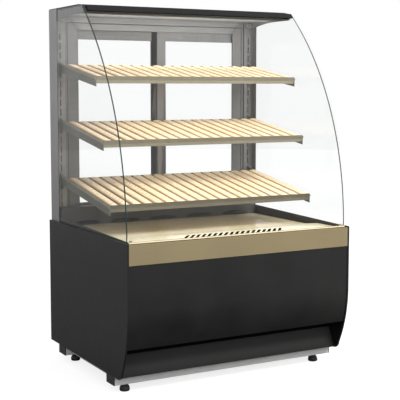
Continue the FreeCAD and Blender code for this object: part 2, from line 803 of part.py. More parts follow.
def side_linings():
    """Dark strips that close the gap between the deck and the end glass."""
    low = P["deck_top"] - P["deck_drop"] - P["sheet_thick"] * 3
    strips = []
    for side in SIDES.values():
        inner = P["arm_inner"] + P["lining_gap"]
        across = mirrored(inner, inner + P["lining_thick"], side)
        front = P["deck_front"] + P["seam"]
        outline = [
            (front, low),
            (front, P["deck_top"] + P["lining_front"]),
            (P["deck_back"], P["deck_top"] + P["lining_back"]),
            (P["deck_back"], low),
        ]
        strips.append(section("side_lining", outline, across))
    group("side_linings", strips)


def rear_wall():
    """Upright wall behind the deck with a row of return-air slots, and its top flange."""
    front = P["deck_back"] + P["seam"]
    half = P["arm_inner"]
    thick = P["sheet_thick"]
    low = P["deck_top"] - P["deck_drop"] - thick * 3
    top = P["sill_height"]
    outline = [
        (front, low),
        (front + thick, low),
        (front + thick, top - thick),
        (P["upright_front"] - P["seam"], top - thick),
        (P["upright_front"] - P["seam"], top),
        (front, top),
    ]
    body = section("wall_sheet", outline, (-half, half))
    row = P["louvre_pitch"] * (P["louvre_count"] - 1)
    start = half - row / 2
    low_edge = P["louvre_height"] - P["louvre_rise"] / 2
    reach = P["louvre_length"] / 2
    edges = rectangle((start - reach, low_edge), (start + reach, low_edge + P["louvre_rise"]))
    slot_sketch = new_sketch(body, "XZ_Plane", [edges])
    slot = cut(body, slot_sketch, front + thick * 2)
    repeat(body, slot, slot_sketch, "H_Axis", row, P["louvre_count"])
    flange = box("wall_flange", (-P["frame_outer"], P["frame_outer"]),
                 (P["upright_front"] - P["seam"], P["frame_front"] - P["seam"]), (top - thick, top))
    joined = doc.addObject("Part::MultiFuse", "rear_wall")
    joined.Shapes = [body, flange]
    node(joined, "rear_wall")


# ---------------------------------------------------------------- posts and door surround


def posts():
    """Slotted tubes that carry the shelves, the doors and the canopy, each with a flange in front."""
    depth = P["case_depth"] - P["upright_front"]
    wall = P["post_wall"]
    for name, side in SIDES.items():
        body = new_body(f"post_{name}")
        width = P["post_width"]
        reach = P["upright_front"] - P["post_front"]
        edge, fold = (width, width - P["post_flange"]) if side > 0 else (0, as_size(P["post_flange"]))
        far = width if side < 0 else as_size(0)
        outer = [(far, depth), (edge, depth), (edge, -reach), (fold, -reach), (fold, 0), (far, 0)]
        inner = rectangle((wall, wall), (width - wall, depth - wall))
        outlines = [outer[::-side], inner]
        extrude(body, new_sketch(body, "XY_Plane", outlines), P["post_top"] - P["post_foot"])
        offset = P["post_outer"] - P["slot_offset"]
        middle = width - offset if side > 0 else offset
        lowest = P["slot_top"] - P["slot_pitch"] * (P["slot_count"] - 1) - P["post_foot"]
        half_slot = P["slot_length"] / 2
        edges = rectangle((middle - P["slot_width"] / 2, lowest - half_slot),
                          (middle + P["slot_width"] / 2, lowest + half_slot))
        slot_sketch = new_sketch(body, "XZ_Plane", [edges])
        slot = cut(body, slot_sketch, wall * 3)
        run = P["slot_pitch"] * (P["slot_count"] - 1)
        repeat(body, slot, slot_sketch, "V_Axis", run, P["slot_count"])
        low, _ = mirrored(P["post_outer"] - width, P["post_outer"], side)
        place(body, low, P["upright_front"], P["post_foot"])
        node(body, f"post_{name}")


def surround_bars():
    """The four mitred outlines of the door surround."""
    inside, sill, head = P["frame_inner"], P["sill_height"], P["header_bottom"]
    out, low, top = P["frame_outer"], P["frame_bottom"], P["header_top"]
    gap = P["seam"]
    bars = {
        "head": [(-out, top), (-inside, head), (inside, head), (out, top)],
        "sill": [(-out, low), (out, low), (inside, sill), (-inside, sill)],
    }
    for name, side in SIDES.items():
        jamb = [
            (out * side, low + gap),
            (inside * side, sill + gap),
            (inside * side, head - gap),
            (out * side, top - gap),
        ]
        bars[name] = jamb[::side]
    return bars


def door_surround():
    """Four mitred bars round the door opening, with a groove along their faces, and two stops."""
    depth = (P["frame_front"], P["frame_front"] + P["frame_thick"])
    ring = []
    for grow in (P["frame_groove_width"], as_size(0)):
        reach = P["frame_inner"] + P["frame_groove_out"] + grow
        rise = P["frame_groove_up"] + grow
        ring.append(rectangle((-reach, P["sill_height"] - rise), (reach, P["header_bottom"] + rise)))
    bars = []
    for name, outline in surround_bars().items():
        bar = plate(f"frame_{name}", outline, depth)
        cut(bar, new_sketch(bar, "XZ_Plane", ring), P["frame_groove_width"])
        bars.append(bar)
    tip = P["track_fin"] + P["seam"] * 2
    heights = (P["door_bottom"] + tip, P["door_top"] + P["track_web"] - tip)
    start = door_starts()["left"]
    stop_left = start - P["door_stop_gap"]
    stop_right = door_starts()["right"] + P["door_width"] + P["door_stop_gap"]
    stop_depth = (depth[1] + P["seam"] / 4, P["door_stop_back"])
    out = P["frame_outer"]
    bars.append(box("door_stop", (-out, stop_left), stop_depth, heights))
    bars.append(box("door_stop", (stop_right, out), stop_depth, heights))
    group("door_surround", bars)


def door_starts():
    """Where each closed door begins, counted across the case."""
    overlap, half_stile = P["door_overlap_middle"], P["door_stile"] / 2
    return {
        "left": overlap + half_stile - P["door_lap"] - P["door_width"],
        "right": overlap - half_stile + P["door_lap"],
    }


def door_tracks():
    """Channels with three fins each: the doors run between the fins."""
    half = P["frame_outer"]
    front = P["frame_front"] + P["frame_thick"] + P["seam"] / 4
    back = P["track_back"]
    fin = P["sheet_thick"]
    gap = P["outer_door_depth"] - P["inner_door_depth"] - P["door_thick"]
    middle = P["inner_door_depth"] + P["door_thick"] + gap / 2
    for name, web, sign in (
        ("track_bottom", P["door_bottom"] - FLOOR_GAP - P["track_web"], 1),
        ("track_top", P["door_top"] + P["track_web"] * 2, -1),
    ):
        inner = web + P["track_web"] * sign
        tip = inner + P["track_fin"] * sign
        outline = [
            (front, web),
            (front, tip),
            (front + fin, tip),
            (front + fin, inner),
            (middle - fin / 2, inner),
            (middle - fin / 2, tip),
            (middle + fin / 2, tip),
            (middle + fin / 2, inner),
            (back - fin, inner),
            (back - fin, tip),
            (back, tip),
            (back, web),
        ]
        node(section(name, outline, (-half, half)), name)


def sliding_doors():
    """Two framed panes that pass each other; each has a pull on the user's side."""
    stile, rail, head = P["door_stile"], P["door_rail"], P["door_head"]
    low, top = P["door_bottom"], P["door_top"]
    fronts = {"left": P["outer_door_depth"], "right": P["inner_door_depth"]}
    for name, start in door_starts().items():
        front = fronts[name]
        end = start + P["door_width"]
        depth = (front, front + P["door_thick"])
        inside = (start + stile, end - stile)
        bars = [
            box("stile", (start, start + stile), depth, (low, top)),
            box("stile", (end - stile, end), depth, (low, top)),
            box("lower_rail", inside, depth, (low, low + rail)),
            box("upper_rail", inside, depth, (top - head, top)),
        ]
        middle = front + P["door_thick"] / 2
        pane_depth = (middle - P["door_pane_thick"] / 2, middle + P["door_pane_thick"] / 2)
        pane = box(f"door_{name}_pane", inside, pane_depth, (low + rail, top - head))
        node(pane, f"door_{name}_pane")
        pull = P["handle_length"] / 2
        centre = (low + top) / 2
        near = P["handle_inset"]
        far = near + P["handle_width"]
        grip = (start + near, start + far) if name == "left" else (end - far, end - near)
        back = front + P["door_thick"]
        rise, taper = P["handle_rise"], P["handle_taper"]
        outline = [
            (back, centre - pull),
            (back + rise, centre - pull + taper),
            (back + rise, centre + pull - taper),
            (back, centre + pull),
        ]
        bars.append(section(f"pull_{name}", outline, grip))
        group(f"door_{name}_frame", bars)


# ---------------------------------------------------------------- glass


def front_glass():
    low, top = P["glass_foot_height"], P["glass_top"]
    thick = P["glass_thick"]
    outline = [
        (glass_curve(0, low), low),
        (glass_curve(thick, low), low, P["glass_radius"] - thick, -1),
        (glass_curve(thick, top), top),
        (glass_curve(0, top), top, P["glass_radius"], 1),
    ]
    half = P["glass_half_width"]
    node(section("front_glass", outline, (-half, half)), "front_glass")


def glass_clip_bar():
    """The channel glued over the upper edge of the front glass."""
    wall = P["glass_clip_wall"] + P["glass_clip_gap"]
    gap = P["glass_clip_gap"]
    thick = P["glass_thick"]
    low, top = P["glass_clip_bottom"], P["glass_clip_top"]
    slot = P["glass_top"] + gap
    insets = {"outer": -wall, "slot_out": -gap, "slot_in": thick + gap, "inner": thick + wall}
    radius = {key: P["glass_radius"] - inset for key, inset in insets.items()}
    depth = {key: lambda height, inset=inset: glass_curve(inset, height)
             for key, inset in insets.items()}
    outline = [
        (depth["outer"](low), low),
        (depth["slot_out"](low), low, radius["slot_out"], -1),
        (depth["slot_out"](slot), slot),
        (depth["slot_in"](slot), slot, radius["slot_in"], 1),
        (depth["slot_in"](low), low),
        (depth["inner"](low), low, radius["inner"], -1),
        (depth["inner"](top), top),
        (depth["outer"](top), top, radius["outer"], 1),
    ]
    half = P["clip_half_width"]
    node(section("glass_clip_bar", outline, (-half, half)), "glass_clip_bar")


def side_glasses():
    inset = P["glass_thick"] + P["side_glass_gap"]
    low, top = P["side_glass_bottom"], P["canopy_top_height"]
    bend = P["glass_foot_height"]
    back = P["post_front"] - P["seam"]
    outline = [
        (glass_curve(inset, bend), low),
        (back, low),
        (back, top),
        (glass_curve(inset, top), top, P["glass_radius"] - inset, 1),
        (glass_curve(inset, bend), bend),
    ]
    inner = P["arm_inner"] + P["arm_thick"] + P["seam"]
    for name, side in SIDES.items():
        across = mirrored(inner, inner + P["side_glass_thick"], side)
        node(section(f"side_glass_{name}", outline, across), f"side_glass_{name}")


def glass_rest():
    """Black seal that the front glass stands on, and the two corner stops."""
    half = P["glass_half_width"] - P["seal_inset"]
    low = P["band_top"] + P["seam"] / 4
    top = P["glass_foot_height"] - P["seam"] / 2
    front = P["glass_foot_depth"] - P["seal_lead"]
    rests = [box("seal", (-half, half), (front, front + P["seal_width"]), (low, top))]
    edge = P["glass_half_width"] - P["stop_inset"]
    inner = P["glass_foot_depth"] + P["glass_thick"] + P["stop_gap"]
    back = inner + P["stop_thick"]
    stop_top = top + P["stop_rise"]
    for side in SIDES.values():
        across = mirrored(edge - P["stop_width"], edge, side)
        outline = [(inner, top), (back, top), (back - P["stop_slant"], stop_top), (inner, stop_top)]
        rests.append(section("glass_stop", outline, across))
    group("glass_rests", rests)


# ---------------------------------------------------------------- canopy and hinges


def canopy_ledge():
    """Depth of the step behind the hinges."""
    return P["hinge_depth"] + P["knuckle_radius"] + P["nose_clear"]


def canopy():
    """The canopy's nose, underside and cover, and the lamp between nose and underside."""
    half = P["canopy_half_width"]
    low, top = P["canopy_under"], P["canopy_top_height"]
    front = P["canopy_front"]
    thick = P["sheet_thick"]
    step = P["hinge_height"] - P["knuckle_radius"] - P["nose_drop"]
    ledge = canopy_ledge()
    nose_back = ledge + P["nose_wall"]
    nose = [
        (front, low),
        (nose_back, low),
        (nose_back, top),
        (ledge, top),
        (ledge, step),
        (front + P["nose_slope"], step),
    ]
    node(section("canopy_nose", nose, (-half, half)), "canopy_nose")
    lamp_front = P["lamp_depth"]
    lamp_back = lamp_front + P["lamp_width"]
    under_start = lamp_back + P["seam"]
    body = new_body("canopy_underside")
    notch = P["upright_front"] - P["seam"]
    inside = P["frame_outer"]
    back = P["canopy_back"]
    outer = [
        (-half, under_start),
        (half, under_start),
        (half, notch),
        (inside, notch),
        (inside, back),
        (-inside, back),
        (-inside, notch),
        (-half, notch),
    ]
    extrude(body, new_sketch(body, "XY_Plane", [outer]), thick)
    place(body, 0, 0, low)
    node(body, "canopy_underside")
    cover_low = P["post_top"] + P["cover_gap"]
    cover = rectangle((nose_back + P["cover_gap"], cover_low),
                      (P["case_depth"] - P["cover_short"], cover_low + thick))
    reach = half + P["cover_overhang"]
    node(section("canopy_top", cover, (-reach, reach)), "canopy_top")
    lamp = P["lamp_half_length"]
    glow = low + P["lamp_recess"]
    side, high, slope = P["lamp_lens_side"], P["lamp_lens_high"], P["lamp_lens_slope"]
    diffuser = [
        (lamp_front, glow + side),
        (lamp_front + slope, glow),
        (lamp_back - slope, glow),
        (lamp_back, glow + side),
        (lamp_back, glow + high),
        (lamp_front, glow + high),
    ]
    node(section("lamp_diffuser", diffuser, (-lamp, lamp)), "lamp_diffuser")
    case_low = glow + high + P["seam"] / 2
    heights = (case_low, case_low + P["lamp_case"])
    node(box("lamp_housing", (-lamp, lamp), (lamp_front, lamp_back), heights), "lamp_housing")


def canopy_arms():
    """End plates that carry the canopy, each with a flange screwed to its post."""
    thick = P["arm_thick"]
    top = P["post_top"]
    back = P["upright_front"] - P["seam"] / 2
    front = P["canopy_front"] + P["arm_front"]
    under = P["canopy_under"] - P["arm_drop"]
    heel = P["canopy_under"] - P["arm_heel"]
    reach = P["arm_curve"]
    drop = under - heel
    outline = [
        (back, heel),
        (back, top),
        (front + P["arm_nose_run"], top),
        (front, P["canopy_top_height"] - P["arm_nose_fall"]),
        (front, under),
        (back - reach, under, (reach * reach + drop * drop) / (drop * 2), -1),
    ]
    tab_depth = (back - P["arm_tab_thick"], back)
    tab_height = (heel + P["arm_tab_step"], P["canopy_under"] - P["arm_tab_clear"])
    arms, screws = [], []
    for name, side in SIDES.items():
        across = mirrored(P["arm_inner"], P["arm_inner"] + thick, side)
        flange = mirrored(P["arm_inner"] - P["arm_tab"], P["arm_inner"], side)
        arm = section(f"arm_plate_{name}", outline, across)
        tab = box(f"arm_tab_{name}", flange, tab_depth, tab_height)
        joined = doc.addObject("Part::MultiFuse", f"arm_{name}")
        joined.Shapes = [arm, tab]
        arms.append(joined)
        for share in ARM_SCREW_SHARES:
            middle = (P["arm_inner"] - P["arm_tab"] * share) * side
            head = tab_depth[0] - P["screw_gap"]
            screws.append(screw("arm_screw", middle, head, heel + P["arm_screw_rise"]))
    group("canopy_arms", arms)
    group("arm_screws", screws)


def screw(name, across, depth, height):
    """A domed screw head that points to the front."""
    body = new_body(name)
    outline = [(0, 0), *SCREW_DOME]
    turned = body.newObject("PartDesign::Revolution", f"{body.Name}_turned")
    turned.Profile = new_sketch(body, "XZ_Plane", [outline[::-1]])
    turned.ReferenceAxis = (turned.Profile[0], ["V_Axis"])
    turned.Angle = 360
    body.Placement.Rotation = FreeCAD.Rotation(FreeCAD.Vector(1, 0, 0), 90)
    place(body, across, depth, height)
    return body


def round_bar(name, radius, across, bore=None):
    """A cylinder along X on the hinge axis."""
    body = new_body(name)
    centre = (P["hinge_depth"], P["hinge_height"])
    circles = [(centre, radius)] + ([(centre, bore)] if bore else [])
    sketch = new_sketch(body, "YZ_Plane", circles=circles)
    extrude(body, sketch, as_size(across[1]) - across[0])
    place(body, across[0])
    return body


def hinges():
    """Fixed lugs on the canopy, pins through them, and a knuckle on the glass bar between."""
    half = P["knuckle_length"] / 2
    gap = P["hinge_gap"]
    lug = P["lug_thick"]
    axis = (P["hinge_depth"], P["hinge_height"])
    lug_back = canopy_ledge() - P["lug_gap"]
    lug_shoulder = canopy_ledge() - P["lug_slant"]
    lugs, pins, leaves = [], [], []
    bar_inset = P["glass_thick"] + P["glass_clip_wall"] + P["glass_clip_gap"]
    tongue_front = glass_curve(bar_inset, P["glass_clip_top"])
    for side in SIDES.values():
        middle = P["hinge_offset"] * side
        for end in (-1, 1):
            near = middle + (half + gap) * end
            far = near + lug * end
            across = (near, far) if end > 0 else (far, near)
            radius = P["lug_radius"]
            outline = [
                (axis[0], axis[1] + radius, radius, 1),
                (axis[0] - radius, axis[1], radius, 1),
                (axis[0], axis[1] - radius),
                (lug_back, axis[1] - radius),
                (lug_back, P["canopy_top_height"] + P["lug_heel"]),
                (lug_shoulder, axis[1] + radius),
            ]
            plate_body = section("hinge_lug", outline, across)
            bore = new_sketch(plate_body, "YZ_Plane", circles=[(axis, P["pin_radius"])])
            cut(plate_body, bore, lug * 2)
            lugs.append(plate_body)
        reach = half + gap + lug
        pins.append(round_bar("hinge_pin", P["pin_radius"], (middle - reach, middle + reach)))
        bore = P["pin_radius"] + P["pin_clearance"]
        knuckle = round_bar("knuckle", P["knuckle_radius"], (middle - half, middle + half), bore)
        rim = P["knuckle_radius"] - P["leaf_root"]
        leaf_top = P["glass_clip_top"]
        edges = rectangle((tongue_front + P["leaf_gap"], leaf_top - P["leaf_thick"]),
                          (axis[0] - rim, leaf_top))
        tongue = section("tongue", edges, (middle - half, middle + half))
        leaf = doc.addObject("Part::MultiFuse", "hinge_leaf")
        leaf.Shapes = [knuckle, tongue]
        leaves.append(leaf)
    group("hinge_lugs", lugs)
    group("hinge_pins", pins)
    group("hinge_leaves", leaves)


# ---------------------------------------------------------------- shelves


def shelves():
    for number, (name, front_name) in enumerate(SHELF_FRONTS.items()):
        shelf(name, P[front_name], P["shelf_back_height"] - P["shelf_pitch"] * number)


def tilt_part(body, across, along, front, front_height):
    """Places a shelf part a distance along its shelf, from the shelf's top front edge."""
    tilt = P["shelf_tilt"]
    body.Placement.Rotation = FreeCAD.Rotation(FreeCAD.Vector(1, 0, 0), tilt.value)
    bind(body, "Placement.Rotation.Angle", tilt)
    place(body, across, front + along * cosine(tilt), front_height + along * sine(tilt))


def shelf(name, front, back_height):
    """One shelf: brackets hooked into the posts, two rails and a slatted wooden grid."""
    tilt = P["shelf_tilt"]
    front_height = back_height - (P["upright_front"] - front) * tangent(tilt)
    length = (P["shelf_back"] - front) / cosine(tilt)
    half = P["shelf_half_width"]
    low = -P["shelf_rail_height"]
    seat = -P["slat_thick"] - P["slat_crown"] - P["seam"] / 2
    thick = P["sheet_thick"]
    step, lip = P["shelf_rail_step"], P["shelf_rail_lip"]
    rail = new_body(f"shelf_{name}_front_rail")
    outline = [
        (0, 0),
        (0, low / 2),
        (step, low / 2 - step),
        (step, low),
        (thick + step, low),
        (thick + step, seat - thick),
        (lip, seat - thick),
        (lip, seat),
        (thick, seat),
        (thick, 0),
    ]
    extrude(rail, new_sketch(rail, "YZ_Plane", [outline]), half * 2)
    tilt_part(rail, -half, as_size(0), front, front_height)
    node(rail, f"shelf_{name}_front_rail")

    back_rail = new_body(f"shelf_{name}_back_rail")
    wall = length + P["seam"]
    outline = [
        (length - lip, seat - thick),
        (wall, seat - thick),
        (wall, low),
        (wall + thick, low),
        (wall + thick, -thick),
        (wall, -thick),
        (wall, seat),
        (length - lip, seat),
    ]
    extrude(back_rail, new_sketch(back_rail, "YZ_Plane", [outline]), half * 2)
    tilt_part(back_rail, -half, as_size(0), front, front_height)
    node(back_rail, f"shelf_{name}_back_rail")

    slats = new_body(f"slats_{name}")
    side = P["slat_width"] / 2
    foot, crown = seat + P["seam"] / 4, P["slat_crown"]
    shoulder = foot + P["slat_thick"]
    crown_radius = (side * side + crown * crown) / (crown * 2)
    outline = [(-side, foot), (side, foot), (side, shoulder, crown_radius, 1), (-side, shoulder)]
    slat_sketch = new_sketch(slats, "XZ_Plane", [outline])
    slat = extrude(slats, slat_sketch, length - thick - P["seam"] / 2)
    repeat(slats, slat, slat_sketch, "H_Axis", P["slat_span"] * 2, P["slat_count"])
    tilt_part(slats, -P["slat_span"], thick + P["shelf_slat_gap"], front, front_height)

    wood = [slats]
    for share in (1 / 3, 2 / 3):
        batten = new_body(f"batten_{name}")
        start = length * share - P["batten_width"] / 2
        top = foot - P["seam"] / 8
        edges = rectangle((start, top - P["batten_thick"]), (start + P["batten_width"], top))
        extrude(batten, new_sketch(batten, "YZ_Plane", [edges]), (P["slat_span"] + side) * 2)
        tilt_part(batten, -P["slat_span"] - side, as_size(0), front, front_height)
        wood.append(batten)
    group(f"shelf_{name}_grid", wood)
    shelf_brackets(name, front, front_height, back_height)


def shelf_brackets(name, front, front_height, back_height):
    """Tapered plates outside the rails, each with a folded lip and two hooks in the post's slots."""
    slope = tangent(P["shelf_tilt"])
    start = front + P["bracket_start"]
    back = P["upright_front"] - P["seam"] / 4
    heel = back - P["bracket_heel"]
    drop = P["bracket_drop"]
    start_top = front_height + slope * P["bracket_start"] - drop
    back_top = back_height - drop
    heel_low = back_top - P["bracket_back_height"] - slope * P["bracket_heel"]
    hook = back + P["post_wall"] + P["bracket_hook"]
    tab = P["bracket_tab"]
    upper = back_height - P["slot_pitch"] * P["bracket_hook_share"]
    lower = upper - P["slot_pitch"]
    outline = [
        (start, start_top),
        (start, start_top - P["bracket_front_height"]),
        (heel, heel_low),
        (heel, lower - tab),
        (hook, lower - tab),
        (hook, lower + tab),
        (back, lower + tab),
        (back, upper - tab),
        (hook, upper - tab),
        (hook, upper + tab),
        (back, upper + tab),
        (back, back_top),
    ]
    lip = P["bracket_lip"]
    fold = [
        (start, start_top),
        (start, start_top - lip),
        (back, back_top - lip),
        (back, back_top),
    ]
    brackets = []
    for side_name, side in SIDES.items():
        inner = P["slot_offset"] - P["bracket_thick"] / 2
        outer = inner + P["bracket_thick"]
        flat_plate = section(f"bracket_{name}", outline, mirrored(inner, outer, side))
        folded = section(f"lip_{name}", fold, mirrored(outer, outer + P["bracket_lip_thick"], side))
        joined = doc.addObject("Part::MultiFuse", f"bracket_{name}_{side_name}")
        joined.Shapes = [flat_plate, folded]
        brackets.append(joined)
    group(f"shelf_{name}_brackets", brackets)


# ---------------------------------------------------------------- what is inside the base


def pan_top():
    """Height at which the fan and the lamp driver stand on the bottom pan."""
    return P["base_bottom"] + P["seam"] + P["sheet_thick"] + P["fan_lift"]


def air_fan():
    """Frame and rotor of the fan that moves air from the return slots to the front slots."""
    half = P["fan_size"] / 2
    base = pan_top()
    middle = base + half
    front = P["fan_front"]
    frame = new_body("fan_frame")
    edges = rectangle((-half, base), (half, base + P["fan_size"]))
    bore = P["fan_radius"] + P["fan_clearance"]
    sketch = new_sketch(frame, "XZ_Plane", [edges], [((0, middle), bore)])
    extrude(frame, sketch, P["fan_depth"])
    reach, spoke = half - P["seam"], P["fan_spoke"] / 2
    edges = rectangle((-reach, middle - spoke), (reach, middle + spoke))
    extrude(frame, new_sketch(frame, "XZ_Plane", [edges]), P["fan_spoke_thick"])
    place(frame, 0, front)
    node(frame, "fan_frame")

    rotor = new_body("fan_rotor")
    hub = new_sketch(rotor, "XZ_Plane", circles=[((0, 0), P["fan_hub"])])
    extrude(rotor, hub, P["fan_hub_depth"])
    blade_sketch = new_sketch(rotor, "XZ_Plane", [FAN_BLADE])
    fin = extrude(rotor, blade_sketch, P["fan_blade_depth"])
    ring = rotor.newObject("PartDesign::PolarPattern", "fan_rotor_ring")
    ring.Originals = [fin]
    ring.Axis = (blade_sketch, ["N_Axis"])
    ring.Angle = 360
    bind(ring, "Occurrences", P["fan_blade_count"])
    rotor.Tip = ring
    place(rotor, 0, front + P["fan_rotor_front"], middle)
    node(rotor, "fan_rotor")


def power_inlet():
    """A flanged inlet with an open socket, and the frame of the lamp switch beside it."""
    panel_back = P["case_depth"] - 3 * P["sheet_thick"]
    length = P["inlet_length"]
    rim, rim_thick, lift = P["inlet_rim"], P["inlet_rim_thick"], P["inlet_lift"]
    shell = new_body("inlet_shell")
    extrude(shell, new_sketch(shell, "XZ_Plane", [inlet_edges(INLET_HALF, -FLOOR_GAP)]), length)
    place(shell, 0, panel_back - length + lift)
    flange = new_body("inlet_flange")
    extrude(flange, new_sketch(flange, "XZ_Plane", [inlet_edges(INLET_HALF, rim)]), rim_thick)
    place(flange, 0, panel_back + lift)
    joined = doc.addObject("Part::MultiFuse", "inlet_solid")
    joined.Shapes = [shell, flange]
    well = new_body("inlet_well")
    well_edges = inlet_edges(WELL_HALF, as_size(0))
    extrude(well, new_sketch(well, "XZ_Plane", [well_edges]), length)
    place(well, 0, panel_back - P["inlet_well"])
    socket = doc.addObject("Part::Cut", "inlet_socket")
    socket.Base = joined
    socket.Tool = well
    frame = new_body("switch_frame")
    edges = [switch_edges(SWITCH_HALF, rim), switch_edges(SWITCH_HALF, 0)]
    extrude(frame, new_sketch(frame, "XZ_Plane", edges), rim_thick)
    place(frame, 0, panel_back + lift)
    group("power_inlet", [socket, frame])


def lamp_switch():
    """A rocker that turns about a pin across its frame, tilted to one side at rest."""
    tilt = P["switch_rest_tilt"]
    half = SWITCH_HALF[0] - P["switch_play"]
    rocker = new_body("lamp_switch")
    extrude(rocker, new_sketch(rocker, "YZ_Plane", [ROCKER]), half * 2)
    rocker.Placement.Rotation = FreeCAD.Rotation(FreeCAD.Vector(1, 0, 0), tilt.value)
    bind(rocker, "Placement.Rotation.Angle", tilt)
    panel_back = P["case_depth"] - 3 * P["sheet_thick"]
    place(rocker, P["switch_middle"] - half, panel_back - P["seam"], P["inlet_height"])
    node(rocker, "lamp_switch")


def lamp_driver():
    """The lamp's power supply, on the bottom pan."""
    base = pan_top()
    across = (P["driver_left"], P["driver_right"])
    depth = (P["driver_front"], P["driver_back"])
    node(box("lamp_driver", across, depth, (base, base + P["driver_height"])), "lamp_driver")


# ---------------------------------------------------------------- build, check and write


def build():
    side_panels()
    fascia_band()
    front_panel()
    groove_channel()
    kick_panel()
    bottom_pan()
    service_panel()
    base_rails()
    feet()
    display_deck()
    side_linings()
    rear_wall()
    posts()
    door_surround()
    door_tracks()
    sliding_doors()
    front_glass()
    glass_clip_bar()
    side_glasses()
    glass_rest()
    canopy()
    canopy_arms()
    hinges()
    shelves()
    air_fan()
    power_inlet()
    lamp_switch()
    lamp_driver()
    doc.recompute()


def check():
    """Stops before anything is written if a feature failed or a shape is broken."""
    for item in doc.Objects:
        if "Invalid" in item.State or "Error" in item.State:
            raise RuntimeError(f"{item.Label}: {item.State}")
    for label, item in nodes.items():
        if item.Shape.isNull() or not item.Shape.isValid() or not item.Shape.Solids:
            raise RuntimeError(f"{label}: the shape is null or not valid")


def write():
    os.makedirs("parts", exist_ok=True)
    for label, item in nodes.items():
        item.Shape.exportStep(os.path.join("parts", f"{label}.step"))


build()
check()
write()
box_all = FreeCAD.BoundBox()
for part in nodes.values():
    box_all.add(part.Shape.BoundBox)
print(len(nodes), "sub-parts", box_all)
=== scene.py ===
import json
import math

import bmesh
import bpy
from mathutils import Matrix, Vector


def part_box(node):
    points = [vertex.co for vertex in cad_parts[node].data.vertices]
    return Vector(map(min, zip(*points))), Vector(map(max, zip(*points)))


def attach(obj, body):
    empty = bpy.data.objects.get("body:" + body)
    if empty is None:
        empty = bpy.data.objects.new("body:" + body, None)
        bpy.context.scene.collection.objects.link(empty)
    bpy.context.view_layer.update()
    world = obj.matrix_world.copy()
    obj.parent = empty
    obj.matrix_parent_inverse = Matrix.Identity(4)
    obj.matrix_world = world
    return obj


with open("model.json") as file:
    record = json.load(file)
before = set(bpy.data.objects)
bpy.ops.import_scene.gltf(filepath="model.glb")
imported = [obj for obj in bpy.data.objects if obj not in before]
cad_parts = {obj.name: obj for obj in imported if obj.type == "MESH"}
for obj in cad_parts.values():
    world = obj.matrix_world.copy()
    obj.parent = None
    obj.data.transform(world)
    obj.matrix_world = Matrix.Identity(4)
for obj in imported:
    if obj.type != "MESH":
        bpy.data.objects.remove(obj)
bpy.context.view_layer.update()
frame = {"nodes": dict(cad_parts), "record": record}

# Looks of a curved-glass bakery display case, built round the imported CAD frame.
# Metres: +X to the customer's right, +Y towards the sliding doors, +Z up, floor at 0.

nodes = frame["nodes"]
MM = 0.001
SHELVES = ("top", "middle", "low")

# Sizes that the finishes share with the CAD part.
SLATS = 19
SLAT_HALF = 17.5 * MM
DOOR_STILE = 39 * MM
RAIL_STEP = 13.5 * MM
GLASS_RADIUS = 1.110

# Grain of the finishes, in bumps or patches per metre, and how deep it is.
PEEL = 620
LACQUER_PEEL = 700
FLAKES = 1400
GLOSS_PATCHES = 90
CLOUDS = 7
ALONG_Z = (700, 700, 8)
ALONG_X = (8, 700, 700)
FINE_RELIEF = 0.05 * MM
PEEL_RELIEF = 0.1 * MM
COAT_RELIEF = 0.12 * MM

# A coat is scuffed up to the first of these heights, and not at all above the second.
SCUFFED = (0.05, 0.35)
# Painted shade on the deck: its tone starts to fall at the first of these depths and stops at the second.
DECK_PAINTED_SHADE = (-0.24, 0.10)
# Length of shelf, from its left end, that takes painted shade for the left upright's shade.
PAINTED_SHADE_REACH = 0.25
# A pane's faces turn from its own direction no further than this cosine; the rest are its edges.
FACE_TURN = 0.96


# ---------------------------------------------------------------- materials

